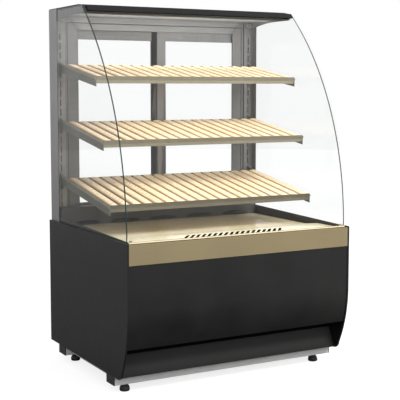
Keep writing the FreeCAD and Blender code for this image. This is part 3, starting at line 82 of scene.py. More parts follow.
class Finish:
    """A material being made: its Principled shader and short ways to add nodes to it."""

    def __init__(self, name, **sockets):
        self.material = bpy.data.materials.new(name)
        self.material.use_nodes = True
        self.tree = self.material.node_tree
        self.shader = self.tree.nodes["Principled BSDF"]
        self.output = self.tree.nodes["Material Output"]
        self.place = self.add("ShaderNodeTexCoord").outputs["Object"]
        self.fill(self.shader, {key.replace("_", " "): value for key, value in sockets.items()})

    def put(self, socket, value):
        """Joins another node's output to a socket, or sets the socket to a plain value."""
        if isinstance(value, bpy.types.NodeSocket):
            self.tree.links.new(value, socket)
        else:
            socket.default_value = value

    def fill(self, node, sockets):
        """Sets or joins a node's inputs, by name or by number."""
        for key, value in sockets.items():
            self.put(node.inputs[key], value)

    def add(self, kind, sockets=None, **settings):
        """A new node with its settings and inputs."""
        node = self.tree.nodes.new(kind)
        for key, value in settings.items():
            setattr(node, key, value)
        self.fill(node, sockets or {})
        return node

    def stretched(self, scale, vector=None):
        """Object coordinates, in metres, scaled along each axis."""
        source = vector or self.place
        return self.add("ShaderNodeMapping", {"Vector": source, "Scale": scale}).outputs["Vector"]

    def noise(self, scale, detail=2.0, vector=None, distortion=0.0):
        """Cloudy noise from 0 to 1; scale is in clouds per metre."""
        sockets = {"Vector": vector or self.place, "Scale": scale, "Detail": detail}
        sockets["Distortion"] = distortion
        return self.add("ShaderNodeTexNoise", sockets).outputs["Fac"]

    def cells(self, scale, output="Distance"):
        """The distance to the middle of the nearest random cell, or another fact about that cell."""
        sockets = {"Vector": self.place, "Scale": scale}
        return self.add("ShaderNodeTexVoronoi", sockets).outputs[output]

    def cell_values(self, scale):
        """A random value from 0 to 1 for each random cell."""
        colour = self.cells(scale, "Color")
        return self.add("ShaderNodeSeparateColor", {0: colour}).outputs[0]

    def calc(self, operation, first, second=0.0, third=0.0, clamp=False):
        """One step of arithmetic on values."""
        sockets = {0: first, 1: second, 2: third}
        return self.add("ShaderNodeMath", sockets, operation=operation, use_clamp=clamp).outputs[0]

    def vector(self, operation, first, second=None):
        """One step of arithmetic on vectors."""
        sockets = {0: first} if second is None else {0: first, 1: second}
        return self.add("ShaderNodeVectorMath", sockets, operation=operation)

    def between(self, value, low, high, to_low=0.0, to_high=1.0):
        """A value's range mapped to another, with its ends held."""
        sockets = {"Value": value, "From Min": low, "From Max": high, "To Min": to_low, "To Max": to_high}
        return self.add("ShaderNodeMapRange", sockets).outputs["Result"]

    def spread(self, noise, to_low=0.0, to_high=1.0):
        """The range that a noise mostly keeps to, mapped to another."""
        return self.between(noise, 0.3, 0.7, to_low, to_high)

    def blend(self, share, first, second, how="MIX"):
        """A mix of two colours."""
        node = self.add("ShaderNodeMix", data_type="RGBA", blend_type=how)
        self.fill(node, {0: share, 6: first, 7: second})
        return node.outputs[2]

    def toned(self, tone, factor):
        """A colour times a value or times another colour."""
        if isinstance(factor, bpy.types.NodeSocket):
            factor = self.add("ShaderNodeCombineColor", dict.fromkeys(range(3), factor)).outputs[0]
        return self.blend(1.0, tone, factor, "MULTIPLY")

    def mix_shaders(self, share, first, second):
        """A mix of two shaders."""
        return self.add("ShaderNodeMixShader", {0: share, 1: first, 2: second}).outputs[0]

    def axes(self, vector=None):
        """The three coordinates, one by one."""
        return self.add("ShaderNodeSeparateXYZ", {0: vector or self.place}).outputs

    def surface(self, output):
        """A fact about the surface, such as the way that it faces."""
        return self.add("ShaderNodeNewGeometry").outputs[output]

    def levelness(self):
        """1 on level faces and 0 on upright ones."""
        return self.calc("ABSOLUTE", self.axes(self.surface("True Normal"))["Z"])

    def bump(self, height, strength, depth):
        """Relief from a height map; depth is in metres."""
        node = self.add("ShaderNodeBump", {"Height": height, "Strength": strength, "Distance": depth})
        self.fill(self.shader, {"Normal": node.outputs["Normal"]})


def grey(level):
    """A linear grey."""
    return (level, level, level, 1)


def tint(colour, times=1.0, plus=0.0):
    """A colour with its channels scaled and lifted, no higher than white."""
    return tuple(min(1, channel * times + plus) for channel in colour[:3]) + (1,)


def powder_coat(name, colour, roughness, specular=0.5, dust=0.012):
    """Satin powder coat: fine orange peel, uneven gloss, a little dust and lighter scuffs low down."""
    coat = Finish(name, Specular_IOR_Level=specular)
    peel = coat.noise(PEEL, 2)
    clouds = coat.noise(CLOUDS, 4)
    low_down = coat.between(coat.axes()["Z"], *SCUFFED, 1, 0)
    scuffs = coat.between(coat.noise(60, 6, coat.stretched((0.35, 0.35, 1))), 0.56, 0.72)
    worn = coat.calc("MULTIPLY", low_down, scuffs, clamp=True)
    tone = coat.blend(coat.between(clouds, 0.35, 0.7), colour, tint(colour, plus=dust))
    gloss = coat.spread(clouds, roughness - 0.05, roughness + 0.07)
    coat.fill(coat.shader, {
        "Base Color": coat.blend(coat.calc("MULTIPLY", worn, 0.5), tone, tint(colour, 1.5, dust)),
        "Roughness": coat.calc("ADD", gloss, coat.calc("MULTIPLY", peel, 0.05)),
    })
    coat.bump(peel, 0.12, COAT_RELIEF)
    return coat.material


def kick_coat():
    """The kick panel's powder coat, with painted light: a little paler towards its top, against the shade
    of the front panel above it.
    """
    coat = Finish("kick_powder_coat", Specular_IOR_Level=0.12)
    low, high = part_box("kick_panel")
    clouds = coat.between(coat.noise(CLOUDS, 4), 0.35, 0.7, -0.04, 0.04)
    # Painted light: the tone rises from the panel's foot to its top, to offset the shade under the front
    # panel.
    rise = coat.calc("ADD", coat.between(coat.axes()["Z"], low.z, high.z), clouds)
    peel = coat.noise(PEEL, 2)
    coat.fill(coat.shader, {
        "Base Color": coat.blend(rise, grey(0.011), grey(0.032)),
        "Roughness": coat.spread(peel, 0.5, 0.58),
    })
    coat.bump(peel, 0.12, COAT_RELIEF)
    return coat.material


def lacquered(coat, tone, roughness, relief=0.08):
    """Finishes a lacquer: its tone, its patches of gloss and a fine orange peel."""
    coat.fill(coat.shader, {
        "Base Color": tone,
        "Roughness": coat.spread(coat.noise(GLOSS_PATCHES, 3), roughness - 0.05, roughness + 0.05),
    })
    coat.bump(coat.noise(LACQUER_PEEL, 2), relief, PEEL_RELIEF)
    return coat.material


def flaked(coat, dark, light):
    """The tone of a lacquer with fine flakes, between two tones."""
    spark = coat.between(coat.cell_values(FLAKES), 0, 1, 0.97, 1.03)
    clouds = coat.spread(coat.noise(5, 3), 0.97, 1.03)
    tone = coat.blend(coat.noise(2.5, 2), (*dark, 1), (*light, 1))
    return coat.toned(tone, coat.calc("MULTIPLY", spark, clouds))


def band_lacquer():
    """Metallic champagne lacquer of the fascia band."""
    coat = Finish("champagne_lacquer", Metallic=0.25, Specular_IOR_Level=0.45)
    return lacquered(coat, flaked(coat, (0.180, 0.146, 0.082), (0.195, 0.159, 0.089)), 0.43)


def deck_lacquer():
    """Pale champagne lacquer of the deck, with painted shade: duller towards the back, and dark on its
    upright faces, such as the walls of its slots.
    """
    coat = Finish("champagne_deck", Metallic=0.0, Specular_IOR_Level=0.45)
    tone = flaked(coat, (0.95, 0.86, 0.61), (0.98, 0.90, 0.65))
    # Painted shade: the deck darkens towards the back, under the shelves.
    painted_shade_back = coat.between(coat.axes()["Y"], *DECK_PAINTED_SHADE)
    tone = coat.blend(painted_shade_back, tone, coat.toned(tone, (0.60, 0.58, 0.55, 1)))
    # Painted shade: near black on upright faces, for the shade inside the slots.
    tone = coat.blend(coat.between(coat.levelness(), 0.3, 0.6), grey(0.012), tone)
    return lacquered(coat, tone, 0.2, relief=0.02)


def rail_lacquer(shelf, share):
    """Champagne lacquer of a shelf's front rail, with painted light and shade: lighter below the step
    along its face, duller above it, and the whole scaled by its share.
    """
    coat = Finish(f"champagne_rail_{shelf}", Metallic=0.15, Specular_IOR_Level=0.4)
    champagne = (0.232, 0.208, 0.150)
    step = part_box(f"shelf_{shelf}_front_rail")[1].z - RAIL_STEP
    # Painted shade above the step and painted light below it.
    painted_shade_above_step = coat.between(coat.axes()["Z"], step - 0.6 * MM, step + 0.6 * MM)
    tone = coat.blend(painted_shade_above_step, tint(champagne, share * 1.12), tint(champagne, share * 0.80))
    return lacquered(coat, coat.toned(tone, coat.spread(coat.noise(30, 3), 0.97, 1.03)), 0.45)


def bracket_lacquer():
    """Dull champagne lacquer, with a painted highlight: paler on the folded lip outside the bracket
    plate.
    """
    coat = Finish("champagne_bracket", Specular_IOR_Level=0.35)
    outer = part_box("shelf_top_brackets")[1].x
    out = coat.calc("ABSOLUTE", coat.axes()["X"])
    # Painted highlight: the folded lip is paler than the plate.
    lip_painted_highlight = coat.between(out, outer - 2 * MM, outer - 1 * MM)
    tone = coat.blend(lip_painted_highlight, (0.105, 0.10, 0.078, 1), (0.20, 0.19, 0.15, 1))
    return lacquered(coat, coat.toned(tone, coat.spread(coat.noise(30, 3), 0.9, 1.1)), 0.5)


def on_stile(metal, frame_name, width=None):
    """1 on a frame's two upright members, which have a width or meet the others in mitres."""
    low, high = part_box(frame_name)
    place = metal.axes()
    off_middle = metal.calc("ABSOLUTE", metal.calc("SUBTRACT", place["X"], (low.x + high.x) / 2))
    from_side = metal.calc("SUBTRACT", (high.x - low.x) / 2, off_middle)
    from_head = metal.calc("SUBTRACT", high.z, place["Z"])
    from_sill = metal.calc("SUBTRACT", place["Z"], low.z)
    reach = width or metal.calc("MINIMUM", from_head, from_sill)
    return metal.calc("LESS_THAN", from_side, reach)


def brushed(name, level, grain, roughness, metallic=0.85, stiles=None, hollow=None):
    """Anodised aluminium, brushed along one axis; grain is the stretch of its scratches on each axis.

    stiles paints shade on a frame's upright members: it is the frame, the width of those members and the
    share of the tone left on them.
    hollow is a node with painted shade behind its front face, as in a groove.
    """
    metal = Finish(name, Metallic=metallic)
    scratches = metal.noise(1, 3, metal.stretched(grain))
    clouds = metal.noise(6, 3)
    tone = metal.blend(metal.spread(scratches), grey(level), grey(level * 0.82))
    if stiles:
        frame_name, width, share = stiles
        # Painted shade: the upright members keep only a share of the tone.
        tone = metal.blend(on_stile(metal, frame_name, width), tone, metal.toned(tone, grey(share)))
    if hollow:
        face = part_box(hollow)[0].y
        # Painted shade: darker behind the front face, as in a groove.
        deep = metal.between(metal.axes()["Y"], face + 0.8 * MM, face + 1.6 * MM)
        tone = metal.blend(deep, tone, grey(level * 0.25))
    gloss = metal.spread(scratches, roughness - 0.06, roughness + 0.06)
    metal.fill(metal.shader, {
        "Base Color": tone,
        "Roughness": metal.calc("ADD", gloss, metal.spread(clouds, -0.03, 0.05)),
    })
    metal.bump(scratches, 0.15, FINE_RELIEF)
    return metal.material


def galvanised():
    """Zinc-coated steel: pale crystals, each with its own tone and gloss."""
    zinc = Finish("galvanised_steel", Metallic=0.6)
    crystals = zinc.cell_values(110)
    rolled = zinc.noise(1, 3, zinc.stretched((12, 500, 500)))
    mixed = zinc.calc("MULTIPLY_ADD", crystals, 0.6, zinc.calc("MULTIPLY", rolled, 0.4))
    zinc.fill(zinc.shader, {
        "Base Color": zinc.blend(mixed, (0.5, 0.51, 0.53, 1), (0.66, 0.67, 0.69, 1)),
        "Roughness": zinc.between(crystals, 0, 1, 0.32, 0.5),
    })
    zinc.bump(rolled, 0.1, FINE_RELIEF)
    return zinc.material


def moulded(name, colour, roughness, grain=900):
    """Moulded plastic or rubber with a fine spark-eroded grain."""
    plastic = Finish(name)
    pebbles = plastic.cells(grain)
    clouds = plastic.noise(40, 3)
    dusty = plastic.between(clouds, 0.35, 0.7)
    plastic.fill(plastic.shader, {
        "Base Color": plastic.blend(dusty, colour, tint(colour, 1.6, 0.004)),
        "Roughness": plastic.spread(clouds, roughness - 0.05, roughness + 0.08),
    })
    plastic.bump(pebbles, 0.25, PEEL_RELIEF)
    return plastic.material


def turned_steel():
    """Plated screw and pin steel with fine scratches."""
    steel = Finish("plated_steel", Metallic=0.95)
    scratches = steel.noise(900, 3)
    steel.fill(steel.shader, {
        "Base Color": steel.blend(scratches, (0.42, 0.42, 0.43, 1), (0.62, 0.62, 0.63, 1)),
        "Roughness": steel.spread(scratches, 0.25, 0.42),
    })
    steel.bump(scratches, 0.1, 0.03 * MM)
    return steel.material


def beech(grid):
    """Oiled beech slats: each has its own tone, with long grain, rings and flecks.

    Painted shade: sides and gaps are darker, and near the left upright the tops, sides and left flanks of
    the slats are darker still, for the shade it casts.
    """
    wood = Finish("oiled_beech", Specular_IOR_Level=0.35)
    low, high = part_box(grid)
    pitch = (high.x - low.x - 2 * SLAT_HALF) / (SLATS - 1)
    first_gap = low.x + SLAT_HALF - pitch / 2
    across = wood.axes()["X"]
    pitches = wood.calc("DIVIDE", wood.calc("SUBTRACT", across, first_gap), pitch)
    number = wood.calc("FLOOR", pitches)
    own = wood.add("ShaderNodeTexWhiteNoise", {"W": number}, noise_dimensions="1D").outputs

    shifted = wood.vector("ADD", wood.place, own["Color"]).outputs[0]
    grown = wood.stretched((1, 0.07, 1), shifted)
    veins = wood.noise(210, 4, grown, 0.4)
    ring_shape = {"Vector": grown, "Scale": 75, "Distortion": 6, "Detail": 3, "Detail Scale": 1.5}
    rings = wood.add("ShaderNodeTexWave", ring_shape, wave_type="RINGS", rings_direction="Y")
    ring_share = wood.calc("MULTIPLY", rings.outputs["Fac"], 0.35)
    grain = wood.calc("ADD", wood.calc("MULTIPLY", veins, 0.65), ring_share)
    pores = wood.noise(900, 2, wood.stretched((1, 0.12, 1), shifted))
    flecks = wood.between(pores, 0.62, 0.74)

    pale, deep = (0.93, 0.84, 0.60, 1), (0.67, 0.50, 0.30, 1)
    rosy, straw = (0.87, 0.72, 0.50, 1), (0.96, 0.90, 0.69, 1)
    body = wood.blend(0.5, pale, wood.blend(own["Value"], rosy, straw))
    tone = wood.blend(wood.between(grain, 0.36, 0.72), body, deep)

    # Painted shade near the left upright: on the slats' tops, sides and left flanks.
    left_painted_shade = wood.between(across, low.x, low.x + PAINTED_SHADE_REACH, 1, 0)
    side = wood.blend(left_painted_shade, (0.76, 0.52, 0.28, 1), (0.22, 0.13, 0.07, 1))
    tone = wood.blend(wood.calc("MULTIPLY", left_painted_shade, 0.26), tone, (0.25, 0.12, 0.05, 1))
    turned = wood.axes(wood.surface("Normal"))["X"]
    painted_flank_shade = wood.between(turned, -0.26, -0.10, 0.75, 0)
    tone = wood.blend(wood.calc("MULTIPLY", painted_flank_shade, left_painted_shade), tone, side)
    # Painted shade on the slats' upright sides, for the shade between them.
    tone = wood.blend(wood.between(wood.levelness(), 0.3, 0.7), side, tone)

    wood.fill(wood.shader, {
        "Base Color": wood.blend(wood.calc("MULTIPLY", flecks, 0.45), tone, (0.42, 0.25, 0.13, 1)),
        "Roughness": wood.spread(grain, 0.42, 0.58),
    })
    wood.bump(wood.calc("ADD", grain, wood.calc("MULTIPLY", flecks, -0.6)), 0.25, 0.15 * MM)
    return wood.material


def clear_glass(name, across, edge_tones, pass_through):
    """Tempered glass: faces that let light through with a faint reflection, and ground edges.

    across is the direction through a flat pane, or the depth and height of the line that a bent
    pane curves about. An edge shows only from outside, between its two tones.
    """
    pane = Finish(name, Roughness=0.3, Specular_IOR_Level=0.3)
    if len(across) == 3:
        through = pane.add("ShaderNodeCombineXYZ", dict(enumerate(across))).outputs[0]
    else:
        spoke = pane.vector("SUBTRACT", pane.place, (0, *across)).outputs[0]
        flat = pane.vector("MULTIPLY", spoke, (0, 1, 1)).outputs[0]
        through = pane.vector("NORMALIZE", flat).outputs[0]
    own_normal = pane.add("ShaderNodeVectorTransform", {0: pane.surface("True Normal")},
                          vector_type="NORMAL", convert_from="WORLD", convert_to="OBJECT").outputs[0]
    facing = pane.vector("DOT_PRODUCT", own_normal, through).outputs["Value"]
    edge = pane.calc("LESS_THAN", pane.calc("ABSOLUTE", facing), FACE_TURN)

    ground = pane.noise(350, 3)
    deep, pale = edge_tones
    pane.fill(pane.shader, {"Base Color": pane.blend(ground, (*deep, 1), (*pale, 1))})
    pane.bump(ground, 0.1, FINE_RELIEF)

    clear = pane.add("ShaderNodeBsdfTransparent", {"Color": pass_through}).outputs[0]
    gleam = pane.add("ShaderNodeBsdfGlossy", {"Color": grey(1), "Roughness": 0.03}).outputs[0]
    tilt = pane.add("ShaderNodeLayerWeight", {"Blend": 0.5}).outputs["Facing"]
    smears = pane.between(pane.noise(9, 5), 0.3, 0.75, 0.8, 1.25)
    mirror = pane.calc("MULTIPLY_ADD", pane.calc("POWER", tilt, 5), 0.5, 0.018)
    face = pane.mix_shaders(pane.calc("MULTIPLY", mirror, smears), clear, gleam)
    outside = pane.calc("SUBTRACT", 1.0, pane.surface("Backfacing"))
    ends = pane.mix_shaders(pane.calc("MULTIPLY", outside, 0.97), clear, pane.shader.outputs[0])
    pane.fill(pane.output, {"Surface": pane.mix_shaders(edge, face, ends)})
    return pane.material


def opal():
    """The lamp's opal diffuser, glowing a little."""
    lamp = Finish("opal_diffuser", Roughness=0.4, Emission_Color=(1, 0.94, 0.82, 1),
                  Emission_Strength=0.12)
    wave = {"Vector": lamp.place, "Scale": 150}
    ribs = lamp.add("ShaderNodeTexWave", wave, bands_direction="X").outputs["Fac"]
    lamp.fill(lamp.shader, {"Base Color": lamp.blend(ribs, (0.42, 0.41, 0.39, 1), (0.50, 0.49, 0.46, 1))})
    lamp.bump(ribs, 0.3, 0.3 * MM)
    return lamp.material


def glass_seal():
    """The pale seal under the front glass, its brown glue line, and the tan stops above it."""
    soft = Finish("glass_seal", Specular_IOR_Level=0.3)
    pebbles = soft.cells(500)
    seal_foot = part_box("glass_rests")[0].z
    glass_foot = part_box("front_glass")[0].z
    height = soft.axes()["Z"]
    pale = soft.blend(soft.noise(60, 3), (0.50, 0.44, 0.30, 1), (0.56, 0.49, 0.34, 1))
    over_glue = soft.between(height, seal_foot + 2.0 * MM, seal_foot + 2.6 * MM)
    strip = soft.blend(over_glue, (0.085, 0.06, 0.032, 1), pale)
    on_stop = soft.calc("GREATER_THAN", height, glass_foot)
    soft.fill(soft.shader, {
        "Base Color": soft.blend(on_stop, strip, (0.24, 0.20, 0.14, 1)),
        "Roughness": soft.between(pebbles, 0, 0.7, 0.45, 0.65),
    })
    soft.bump(pebbles, 0.2, PEEL_RELIEF)
    return soft.material


def glass_line():
    """Depth and height of the line that the front glass curves about."""
    low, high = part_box("front_glass")
    span = Vector((high.y - low.y, high.z - low.z))
    chord = span.length
    rise = math.sqrt(GLASS_RADIUS ** 2 - chord ** 2 / 4)
    half_way = Vector((low.y + high.y, low.z + high.z)) / 2
    inward = Vector((span.y, -span.x)) / chord
    centre = half_way + inward * rise
    return (centre.x, centre.y)


# Two tones for the edges of a pane, and what its faces let through.
TEAL = ((0.003, 0.018, 0.020), (0.008, 0.036, 0.040))
# Painted shade: the right end pane's edges are grey instead of teal.
SHADED_GREY_EDGES = ((0.012, 0.014, 0.014), (0.03, 0.033, 0.033))
CLEAR = (0.992, 0.995, 0.994, 1)
END_GLASS = (0.984, 0.988, 0.988, 1)

# Painted shade: near black for the groove channel under the front panel and for the tray under the air
# slots, standing in for the shade in them.
painted_shade_black = powder_coat("painted_shade_black_coat", grey(0.0015), 0.7, specular=0.05, dust=0.0005)
# Painted shade: the hoods over the return slots are near black, not the wall's grey, for the shade of the
# slots under them.
hood_painted_shade = powder_coat("hood_painted_shade", grey(0.008), 0.35, specular=0.6, dust=0.002)
canopy_black = powder_coat("canopy_black", grey(0.004), 0.5, specular=0.25, dust=0.002)
plated = turned_steel()
bracket_gold = bracket_lacquer()
upright_metal = brushed("anodised_upright", 0.34, ALONG_Z, 0.42)
base_metal = brushed("base_aluminium", 0.72, ALONG_X, 0.4, 0.3)
door_glass = clear_glass("door_glass", (0, 1, 0), TEAL, CLEAR)

# The finish of each slot, and the nodes that have one of their own.
LOOKS = {
    "black_paint": powder_coat("black_powder_coat", grey(0.0045), 0.42, specular=0.45, dust=0.003),
    "grey_paint": powder_coat("grey_powder_coat", grey(0.19), 0.45),
    "dark_lining": powder_coat("dark_lining", grey(0.05), 0.5),
    "champagne_paint": band_lacquer(),
    "anodised": brushed("anodised_level", 0.27, ALONG_X, 0.42),
    "galvanised": galvanised(),
    "black_plastic": moulded("black_plastic", grey(0.012), 0.5),
    "rubber": moulded("black_rubber", grey(0.008), 0.75, 500),
    "steel": plated,
    "wood": beech("shelf_top_grid"),
    "glass": clear_glass("side_glass", (1, 0, 0), TEAL, END_GLASS),
    "diffuser": opal(),
}
OWN_LOOKS = {
    "front_glass": clear_glass("front_glass", glass_line(), TEAL, CLEAR),
    "side_glass_right": clear_glass("right_end_glass", (1, 0, 0), SHADED_GREY_EDGES, END_GLASS),
    "door_left_pane": door_glass,
    "door_right_pane": door_glass,
    # Painted shade: the far door's frame is a little darker than the near one's, and darker still on its
    # stiles; the surround's stiles are duller.
    "door_left_frame": brushed("anodised_far_door", 0.34, ALONG_Z, 0.42,
                               stiles=("door_left_frame", DOOR_STILE, 0.62)),
    "door_right_frame": brushed("anodised_door", 0.37, ALONG_Z, 0.42),
    "door_surround": brushed("surround_aluminium", 0.25, ALONG_X, 0.45, 0.5,
                             stiles=("door_surround", None, 0.82), hollow="door_surround"),
    "post_left": upright_metal,
    "post_right": upright_metal,
    "front_rail": base_metal,
    "rear_rail": base_metal,
    "display_deck": deck_lacquer(),
    "glass_rests": glass_seal(),
    "side_linings": powder_coat("side_lining_coat", grey(0.027), 0.55, specular=0.3, dust=0.003),
    "canopy_underside": powder_coat("canopy_grey", grey(0.17), 0.45),
    "canopy_arms": powder_coat("arm_grey", grey(0.13), 0.45),
    "canopy_nose": canopy_black,
    "glass_clip_bar": canopy_black,
    "groove_channel": painted_shade_black,
    "kick_panel": kick_coat(),
}
# Painted shade: the share of the champagne tone that each front rail keeps, less the lower the shelf.
RAIL_PAINTED_LIGHT = {"top": 0.86, "middle": 0.74, "low": 0.42}
for shelf in SHELVES:
    OWN_LOOKS[f"shelf_{shelf}_brackets"] = bracket_gold
    OWN_LOOKS[f"shelf_{shelf}_front_rail"] = rail_lacquer(shelf, RAIL_PAINTED_LIGHT[shelf])
for part in frame["record"]["subparts"]:
    name = part["node"]
    nodes[name].data.materials.clear()
    nodes[name].data.materials.append(OWN_LOOKS.get(name, LOOKS[part["material_slot"]]))


# ---------------------------------------------------------------- edges

def smoothing():
    """A node group that joins the faces of a CAD mesh and drops its stored normals."""
    group = bpy.data.node_groups.new("join_faces", "GeometryNodeTree")
    for way in ("INPUT", "OUTPUT"):
        group.interface.new_socket("Geometry", in_out=way, socket_type="NodeSocketGeometry")
    start = group.nodes.new("NodeGroupInput")
    weld = group.nodes.new("GeometryNodeMergeByDistance")
    weld.inputs["Distance"].default_value = 0.002 * MM
    forget = group.nodes.new("GeometryNodeRemoveAttribute")
    forget.inputs["Name"].default_value = "custom_normal"
    shade = group.nodes.new("GeometryNodeSetShadeSmooth")
    end = group.nodes.new("NodeGroupOutput")
    chain = (start, weld, forget, shade, end)
    for first, second in zip(chain, chain[1:]):
        group.links.new(first.outputs[0], second.inputs[0])
    return group


JOINED = smoothing()
# Width of the rounding on each slot's edges, in millimetres.
SOFT_EDGES = {
    "black_paint": 0.9, "champagne_paint": 0.6, "grey_paint": 0.6, "dark_lining": 0.4,
    "anodised": 0.5, "galvanised": 0.5, "black_plastic": 0.5, "rubber": 0.5,
    "glass": 0.6, "diffuser": 0.8, "wood": 0.0, "steel": 0.0,
}


def soften(item, width):
    """Rounds a CAD node's edges a little and shades it from its face areas."""
    join = item.modifiers.new("join", "NODES")
    join.node_group = JOINED
    if width:
        round_over = item.modifiers.new("edges", "BEVEL")
        round_over.width = width
        round_over.segments = 2
        round_over.limit_method = "ANGLE"
        round_over.angle_limit = math.radians(40)
        round_over.use_clamp_overlap = True
    weigh = item.modifiers.new("shading", "WEIGHTED_NORMAL")
    weigh.keep_sharp = True
    weigh.weight = 80


for part in frame["record"]["subparts"]:
    soften(nodes[part["node"]], SOFT_EDGES[part["material_slot"]] * MM)


# ---------------------------------------------------------------- small pieces

def piece(name, shape, look, smooth=True):
    """A finished mesh piece that rides the cabinet and takes the finish that it is given."""
    mesh = bpy.data.meshes.new(name)
    bmesh.ops.recalc_face_normals(shape, faces=shape.faces)
    shape.to_mesh(mesh)
    shape.free()
    for face in mesh.polygons:
        face.use_smooth = smooth
    mesh.materials.append(look)
    item = bpy.data.objects.new(name, mesh)
    bpy.context.scene.collection.objects.link(item)
    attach(item, "cabinet")
    return item


def thicken(item, thickness, offset):
    """Gives a sheet piece its thickness."""
    shell = item.modifiers.new("sheet", "SOLIDIFY")
    shell.thickness = thickness
    shell.offset = offset


def grid_faces(shape, rows):
    """Faces between rows of vertices of equal length."""
    for first, second in zip(rows, rows[1:]):
        for number in range(len(first) - 1):
            corners = (first[number], first[number + 1], second[number + 1], second[number])
            shape.faces.new(corners)


HEAD_RADIUS = 4 * MM
HEAD_HEIGHT = 2.2 * MM
HEAD_STEPS = 24
# The dome's profile and the socket's depths, in shares of the head's radius and height.
DOME = ((1, 0), (1, 0.35), (0.86, 0.75), (0.6, 1))
SOCKET_SIDES = 6
SOCKET_WIDTH = 0.42
SOCKET_HEIGHTS = (1, 0.35)


def head_rings():
    """Rings of a domed screw head and its six-sided socket: reach, rise and turn of every point."""
    turns = [step / HEAD_STEPS for step in range(HEAD_STEPS)]
    rings = []
    for reach, rise in DOME:
        rings.append([(HEAD_RADIUS * reach, HEAD_HEIGHT * rise, turn) for turn in turns])
    half_side = math.pi / SOCKET_SIDES
    for rise in SOCKET_HEIGHTS:
        ring = []
        for turn in turns:
            along_side = (turn * SOCKET_SIDES) % 1 - 0.5
            reach = math.cos(half_side) / math.cos(2 * half_side * along_side)
            ring.append((HEAD_RADIUS * SOCKET_WIDTH * reach, HEAD_HEIGHT * rise, turn))
        rings.append(ring)
    return rings


def screw_head(shape, centre):
    """A button-head screw that points backwards, +Y."""
    rows = []
    for ring in head_rings():
        row = []
        for reach, rise, turn in ring:
            angle = 2 * math.pi * turn
            point = Vector((reach * math.cos(angle), rise, -reach * math.sin(angle)))
            row.append(shape.verts.new(centre + point))
        rows.append(row + row[:1])
    grid_faces(shape, rows)
    shape.faces.new(rows[-1][:-1])


def screw_column(name, first, last, count):
    """A column of screws, evenly spaced from one point to another."""
    shape = bmesh.new()
    for number in range(count):
        screw_head(shape, first.lerp(last, number / (count - 1)))
    item = piece(name, shape, plated)
    edges = item.modifiers.new("sharp", "EDGE_SPLIT")
    edges.split_angle = math.radians(38)


HOODS = 5
HOOD_PITCH = 0.174
HOOD_FOOT = 0.5435
HOOD_HALF = 66 * MM
HOOD_RISE = 12 * MM
HOOD_BULGE = 9 * MM
HOOD_GAP = 0.2 * MM
HOOD_SHEET = 0.8 * MM
HOOD_ACROSS = 24
HOOD_UP = 8


def hood(name, centre):
    """A pressed half-moon hood over a return slot, open along its lower edge."""
    shape = bmesh.new()
    rows = []
    for across in range(HOOD_ACROSS + 1):
        share = across / HOOD_ACROSS * 2 - 1
        full = math.sqrt(max(0.0, 1 - share * share))
        row = []
        for up in range(HOOD_UP + 1):
            turn = up / HOOD_UP * math.pi / 2
            out = HOOD_BULGE * full * math.cos(turn) + HOOD_GAP
            height = HOOD_RISE * full * math.sin(turn)
            row.append(shape.verts.new(centre + Vector((share * HOOD_HALF, -out, height))))
        rows.append(row)
    grid_faces(shape, rows)
    bmesh.ops.remove_doubles(shape, verts=shape.verts, dist=0.01 * MM)
    thicken(piece(name, shape, hood_painted_shade), HOOD_SHEET, 0)


def tray(name, low, high, wall):
    """A shallow tray, open at the top, with thin walls."""
    shape = bmesh.new()
    bmesh.ops.create_cube(shape, size=1)
    size, centre = high - low, (high + low) / 2
    for vertex in shape.verts:
        vertex.co = Vector(vertex.co[axis] * size[axis] + centre[axis] for axis in range(3))
    lid = max(shape.faces, key=lambda face: face.calc_center_median().z)
    bmesh.ops.delete(shape, geom=[lid], context="FACES_ONLY")
    # Near black: painted shade under the air slots.
    item = piece(name, shape, painted_shade_black, smooth=False)
    thicken(item, wall, -1)
    edges = item.modifiers.new("edges", "BEVEL")
    edges.width = wall / 4
    edges.segments = 2


# The tray under the front air slots: its ends, its front and back, and its depths under the deck.
TRAY_ENDS = (-0.225, 0.265)
TRAY_SIDES = (-0.296, -0.233)
TRAY_DROPS = (12 * MM, 2.6 * MM)
deck_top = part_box("display_deck")[1].z
tray_low, tray_high = [Vector((TRAY_ENDS[end], TRAY_SIDES[end], deck_top - TRAY_DROPS[end]))
                       for end in (0, 1)]
tray("air_slot_tray", tray_low, tray_high, 1 * MM)

wall_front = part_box("rear_wall")[0].y
for number in range(HOODS):
    off_middle = (number - HOODS // 2) * HOOD_PITCH
    hood(f"wall_louvre_{number + 1}", Vector((off_middle, wall_front, HOOD_FOOT)))

# The screws down each edge of the service panel: how many, and how far in from its edges.
PANEL_SCREWS = 4
EDGE_IN = 14 * MM
service_low, service_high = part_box("service_panel")
for side_name, side in (("left", -1), ("right", 1)):
    out = side * (service_high.x - EDGE_IN)
    lowest = Vector((out, service_high.y, service_low.z + 3 * EDGE_IN))
    highest = Vector((out, service_high.y, service_high.z - EDGE_IN))
    screw_column(f"service_screws_{side_name}", lowest, highest, PANEL_SCREWS)

# ---------------------------------------------------------------- stage

EYE = (-1.8982, -3.4597, 1.0874)
YAW = math.radians(29.0)
PITCH = math.radians(5.458)
LENS = 90.81


def camera():
    """The camera: in front of the case, to its left and a little above its middle."""
    lens = bpy.data.cameras.new("camera")
    lens.lens = LENS
    lens.shift_y = -0.04
    lens.clip_end = 100
    eye = bpy.data.objects.new("camera", lens)
    bpy.context.scene.collection.objects.link(eye)
    ahead = Vector((math.sin(YAW) * math.cos(PITCH), math.cos(YAW) * math.cos(PITCH), -math.sin(PITCH)))
    eye.location = EYE
    eye.rotation_euler = ahead.to_track_quat("-Z", "Y").to_euler()
    bpy.context.scene.camera = eye


